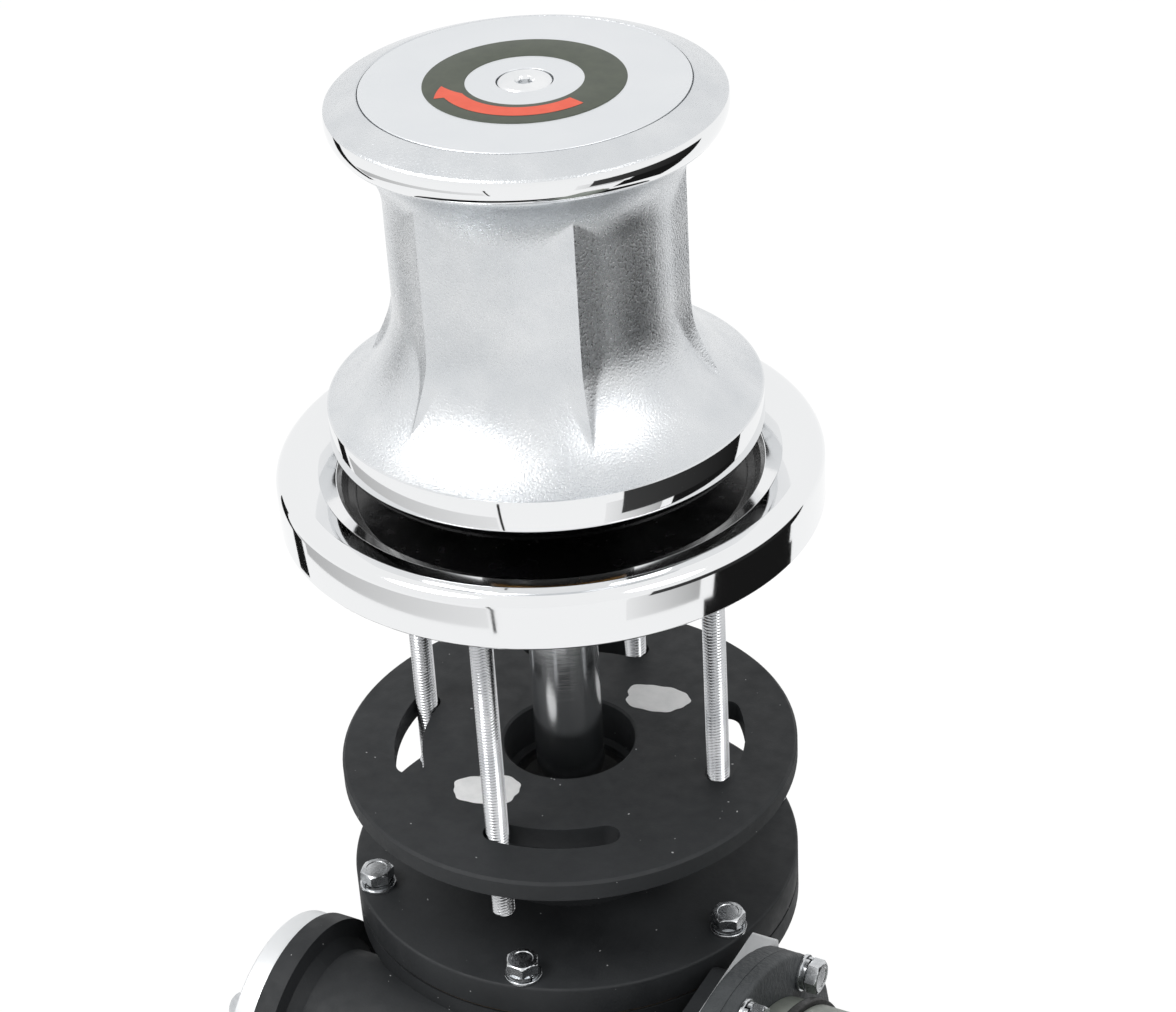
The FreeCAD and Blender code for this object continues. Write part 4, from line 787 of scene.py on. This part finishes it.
class CAPSTAN_OT_finish_frame(bpy.types.Operator):
    """Give every carried-over part its finish"""
    bl_idname = "capstan.finish_frame"
    bl_label = "Finish the other parts"

    def execute(self, context):
        """Each part takes the finish named for its material slot."""
        found = finishes()
        by_slot = {
            "chrome": "Bright chrome plate", "satin_cap": "Satin stainless steel", "label": "Printed foil",
            "stainless": "Ground stainless steel", "zinc": "Bright zinc plate",
            "black_paint": "Black gearbox paint", "aluminium": "Milled aluminium",
            "rough_black": "Painted rough casting", "passivated": "Passivated steel",
            "bronze": "Cast bronze", "steel": "Bearing steel", "rubber": "Nitrile rubber",
            "magnet": "Ferrite magnet", "copper": "Commutator copper", "carbon": "Carbon brush",
            "insulator": "Moulded phenolic", "gasket": "Gasket paper"}
        keys = {"drum_key", "wheel_key", "shaft_circlip", "wheel_spacer"}
        for sub in frame["record"]["subparts"]:
            node = sub["node"]
            mesh = frame["nodes"][node].data
            mesh.materials.clear()
            mesh.materials.append(found["Key steel" if node in keys else by_slot[sub["material_slot"]]])
        return {"FINISHED"}


# ------------------------------------------------------------------ stage
def stage_piece(name, pts, faces, finish):
    mesh = bpy.data.meshes.new(name)
    mesh.from_pydata((np.asarray(pts) * MM).tolist(), [], faces)
    mesh.materials.append(finish)
    obj = bpy.data.objects.new(name, mesh)
    bpy.context.scene.collection.objects.link(obj)
    return obj


def seen_directly(tree):
    """1 for camera, glossy and transmission rays, and 0 for the rays that light the object."""
    rays = add(tree, "LightPath").outputs
    seen = rays["Is Camera Ray"]
    for kind in ("Is Glossy Ray", "Is Transmission Ray"):
        seen = add(tree, "Math", {0: seen, 1: rays[kind]}, operation="MAXIMUM").outputs[0]
    return seen


class CAPSTAN_OT_stage(bpy.types.Operator):
    """Set the floor, the light tent, its dark flags, the lamps and the camera"""
    bl_idname = "capstan.stage"
    bl_label = "Stage"

    def execute(self, context):
        """The flags are strips round the object, upright or flat on the floor, and seen only in
        reflections. Each glows from its first shade to its last."""
        floor_look, tree, bsdf, out = new_finish("White sweep", base_color=linear("#E6E6E6"), roughness=0.8)
        share = add(tree, "Math", {0: seen_directly(tree), 1: 0.97}, operation="MULTIPLY")
        glow = add(tree, "Emission", {"Color": (1, 1, 1, 1), "Strength": 1.03})
        mixed = add(tree, "MixShader", {0: share.outputs[0], 1: bsdf.outputs[0], 2: glow.outputs[0]})
        tree.links.new(mixed.outputs[0], out.inputs[0])
        z = min(v[2] for v in LOW.values()) - 0.5
        corners = [(x * 4000, y * 4000, z) for x, y in ((-1, -1), (1, -1), (1, 1), (-1, 1))]
        stage_piece("floor", corners, [[0, 1, 2, 3]], floor_look)

        world = bpy.data.worlds.new("Light tent")
        context.scene.world = world
        world.use_nodes = True
        tree = world.node_tree
        tree.nodes.clear()
        level = add(tree, "MapRange", {"Value": seen_directly(tree), "To Min": 0.62, "To Max": 1.0})
        sky = add(tree, "Background", {"Color": (1, 1, 1, 1), "Strength": level.outputs[0]})
        add(tree, "OutputWorld", {"Surface": sky.outputs[0]})

        cloth, tree, _, out = new_finish("Flag cloth")
        shade = add(tree, "Attribute", attribute_name="shade", attribute_type="GEOMETRY").outputs["Fac"]
        glow = add(tree, "Emission", {"Color": (1, 1, 1, 1), "Strength": shade})
        tree.links.new(glow.outputs[0], out.inputs[0])
        for k, (start, end, near, far, low, high, first, last) in enumerate((
                (-30.0, 14.0, 620.0, 620.0, z, -140.0, 0.01, 0.01),
                (-34.0, 16.0, 400.0, 620.0, z + 2, z + 2, 0.01, 0.01),
                (143.0, 152.0, 560.0, 560.0, z, 60.0, 0.01, 0.01),
                (-66.0, -36.0, 640.0, 640.0, z, -120.0, 0.92, 0.45),
                (-115.6, -114.4, 620.0, 620.0, z, -60.0, 0.01, 0.01),
                (-180.0, 180.0, 235.0, 330.0, z + 2, z + 2, 0.01, 0.01),
                (-206.0, -117.0, 640.0, 640.0, z, -200.0, 0.50, 0.86),
                (-58.0, 14.0, 600.0, 600.0, -240.0, -20.0, 0.05, 0.01))):
            a = np.radians(np.linspace(start, end, 61) + VIEW_TURN)
            pts = np.concatenate([np.stack([r * np.cos(a), r * np.sin(a), np.full(61, h)], -1)
                                  for r, h in ((near, low), (far, high))])
            faces = grid_faces(2, 61, wrap_cols=False).tolist()
            flag = stage_piece("flag_%d" % (k + 1), pts, faces, cloth)
            shades = np.tile(np.linspace(first, last, 61), 2).astype(np.float32)
            flag.data.attributes.new("shade", "FLOAT", "POINT").data.foreach_set("value", shades)
            for path in ("camera", "diffuse", "shadow", "transmission"):
                setattr(flag, "visible_" + path, False)

        for name, at, size, watts in (("key", (-700, -900, 1500), 900, 15.0),
                                      ("fill", (1100, -300, 900), 700, 3.0)):
            data = bpy.data.lights.new(name, "AREA")
            data.shape, data.size, data.energy = "DISK", size * MM, watts
            lamp = bpy.data.objects.new(name, data)
            context.scene.collection.objects.link(lamp)
            lamp.location = Vector(at) * MM
            lamp.rotation_euler = (Vector((0, 0, 0)) - lamp.location).to_track_quat("-Z", "Y").to_euler()

        data = bpy.data.cameras.new("camera")
        data.sensor_fit, data.sensor_width, data.lens = "HORIZONTAL", 36.0, 85.46
        data.clip_start, data.clip_end = 0.05, 50.0
        camera = bpy.data.objects.new("camera", data)
        context.scene.collection.objects.link(camera)
        yaw, pitch, roll = (math.radians(v) for v in (0.83008, 32.20208, -3.47519))
        f = np.array([math.sin(yaw) * math.cos(pitch), math.cos(yaw) * math.cos(pitch), -math.sin(pitch)])
        r = np.array([math.cos(yaw), -math.sin(yaw), 0.0])
        u = np.cross(r, f)
        right, upward = math.cos(roll) * r + math.sin(roll) * u, -math.sin(roll) * r + math.cos(roll) * u
        turn = turn_z(VIEW_TURN)
        axes = turn @ np.column_stack([right, upward, -f])
        matrix = Matrix(axes.tolist()).to_4x4()
        matrix.translation = Vector((turn @ np.array([0, -EYE_REACH, EYE_HEIGHT])) * MM)
        camera.matrix_world = matrix
        context.scene.camera = camera
        context.scene.view_settings.view_transform = "Standard"
        return {"FINISHED"}


class CAPSTAN_PT_panel(bpy.types.Panel):
    """Lists the capstan's builders"""
    bl_idname = "CAPSTAN_PT_panel"
    bl_label = "Deck capstan"
    bl_space_type = "VIEW_3D"
    bl_region_type = "UI"
    bl_category = "Capstan"

    def draw(self, context):
        column = self.layout.column()
        for step in STEPS:
            column.operator(step.bl_idname)
        for name in GROUPS:
            group = getattr(context.scene, name)
            for key in group.bl_rna.properties.keys():
                if key not in ("rna_type", "name"):
                    column.prop(group, key)


STEPS = (CAPSTAN_OT_drum, CAPSTAN_OT_cap, CAPSTAN_OT_deck_plate, CAPSTAN_OT_studs, CAPSTAN_OT_bolts,
         CAPSTAN_OT_gearbox, CAPSTAN_OT_motor, CAPSTAN_OT_finish_frame, CAPSTAN_OT_stage)
GROUPS = {"capstan_drum": CAPSTAN_PG_drum, "capstan_fasteners": CAPSTAN_PG_fasteners,
          "capstan_colours": CAPSTAN_PG_colours}


def register():
    for cls in (*GROUPS.values(), *STEPS, CAPSTAN_PT_panel):
        bpy.utils.register_class(cls)
    for key, cls in GROUPS.items():
        setattr(bpy.types.Scene, key, bpy.props.PointerProperty(type=cls))


def unregister():
    for key in GROUPS:
        delattr(bpy.types.Scene, key)
    for cls in (CAPSTAN_PT_panel, *reversed(STEPS), *reversed(GROUPS.values())):
        bpy.utils.unregister_class(cls)


def main():
    register()
    for step in STEPS:
        area, name = step.bl_idname.split(".")
        if getattr(getattr(bpy.ops, area), name)() != {"FINISHED"}:
            raise RuntimeError(step.bl_label + " was not built")


if __name__ == "__main__":
    main()
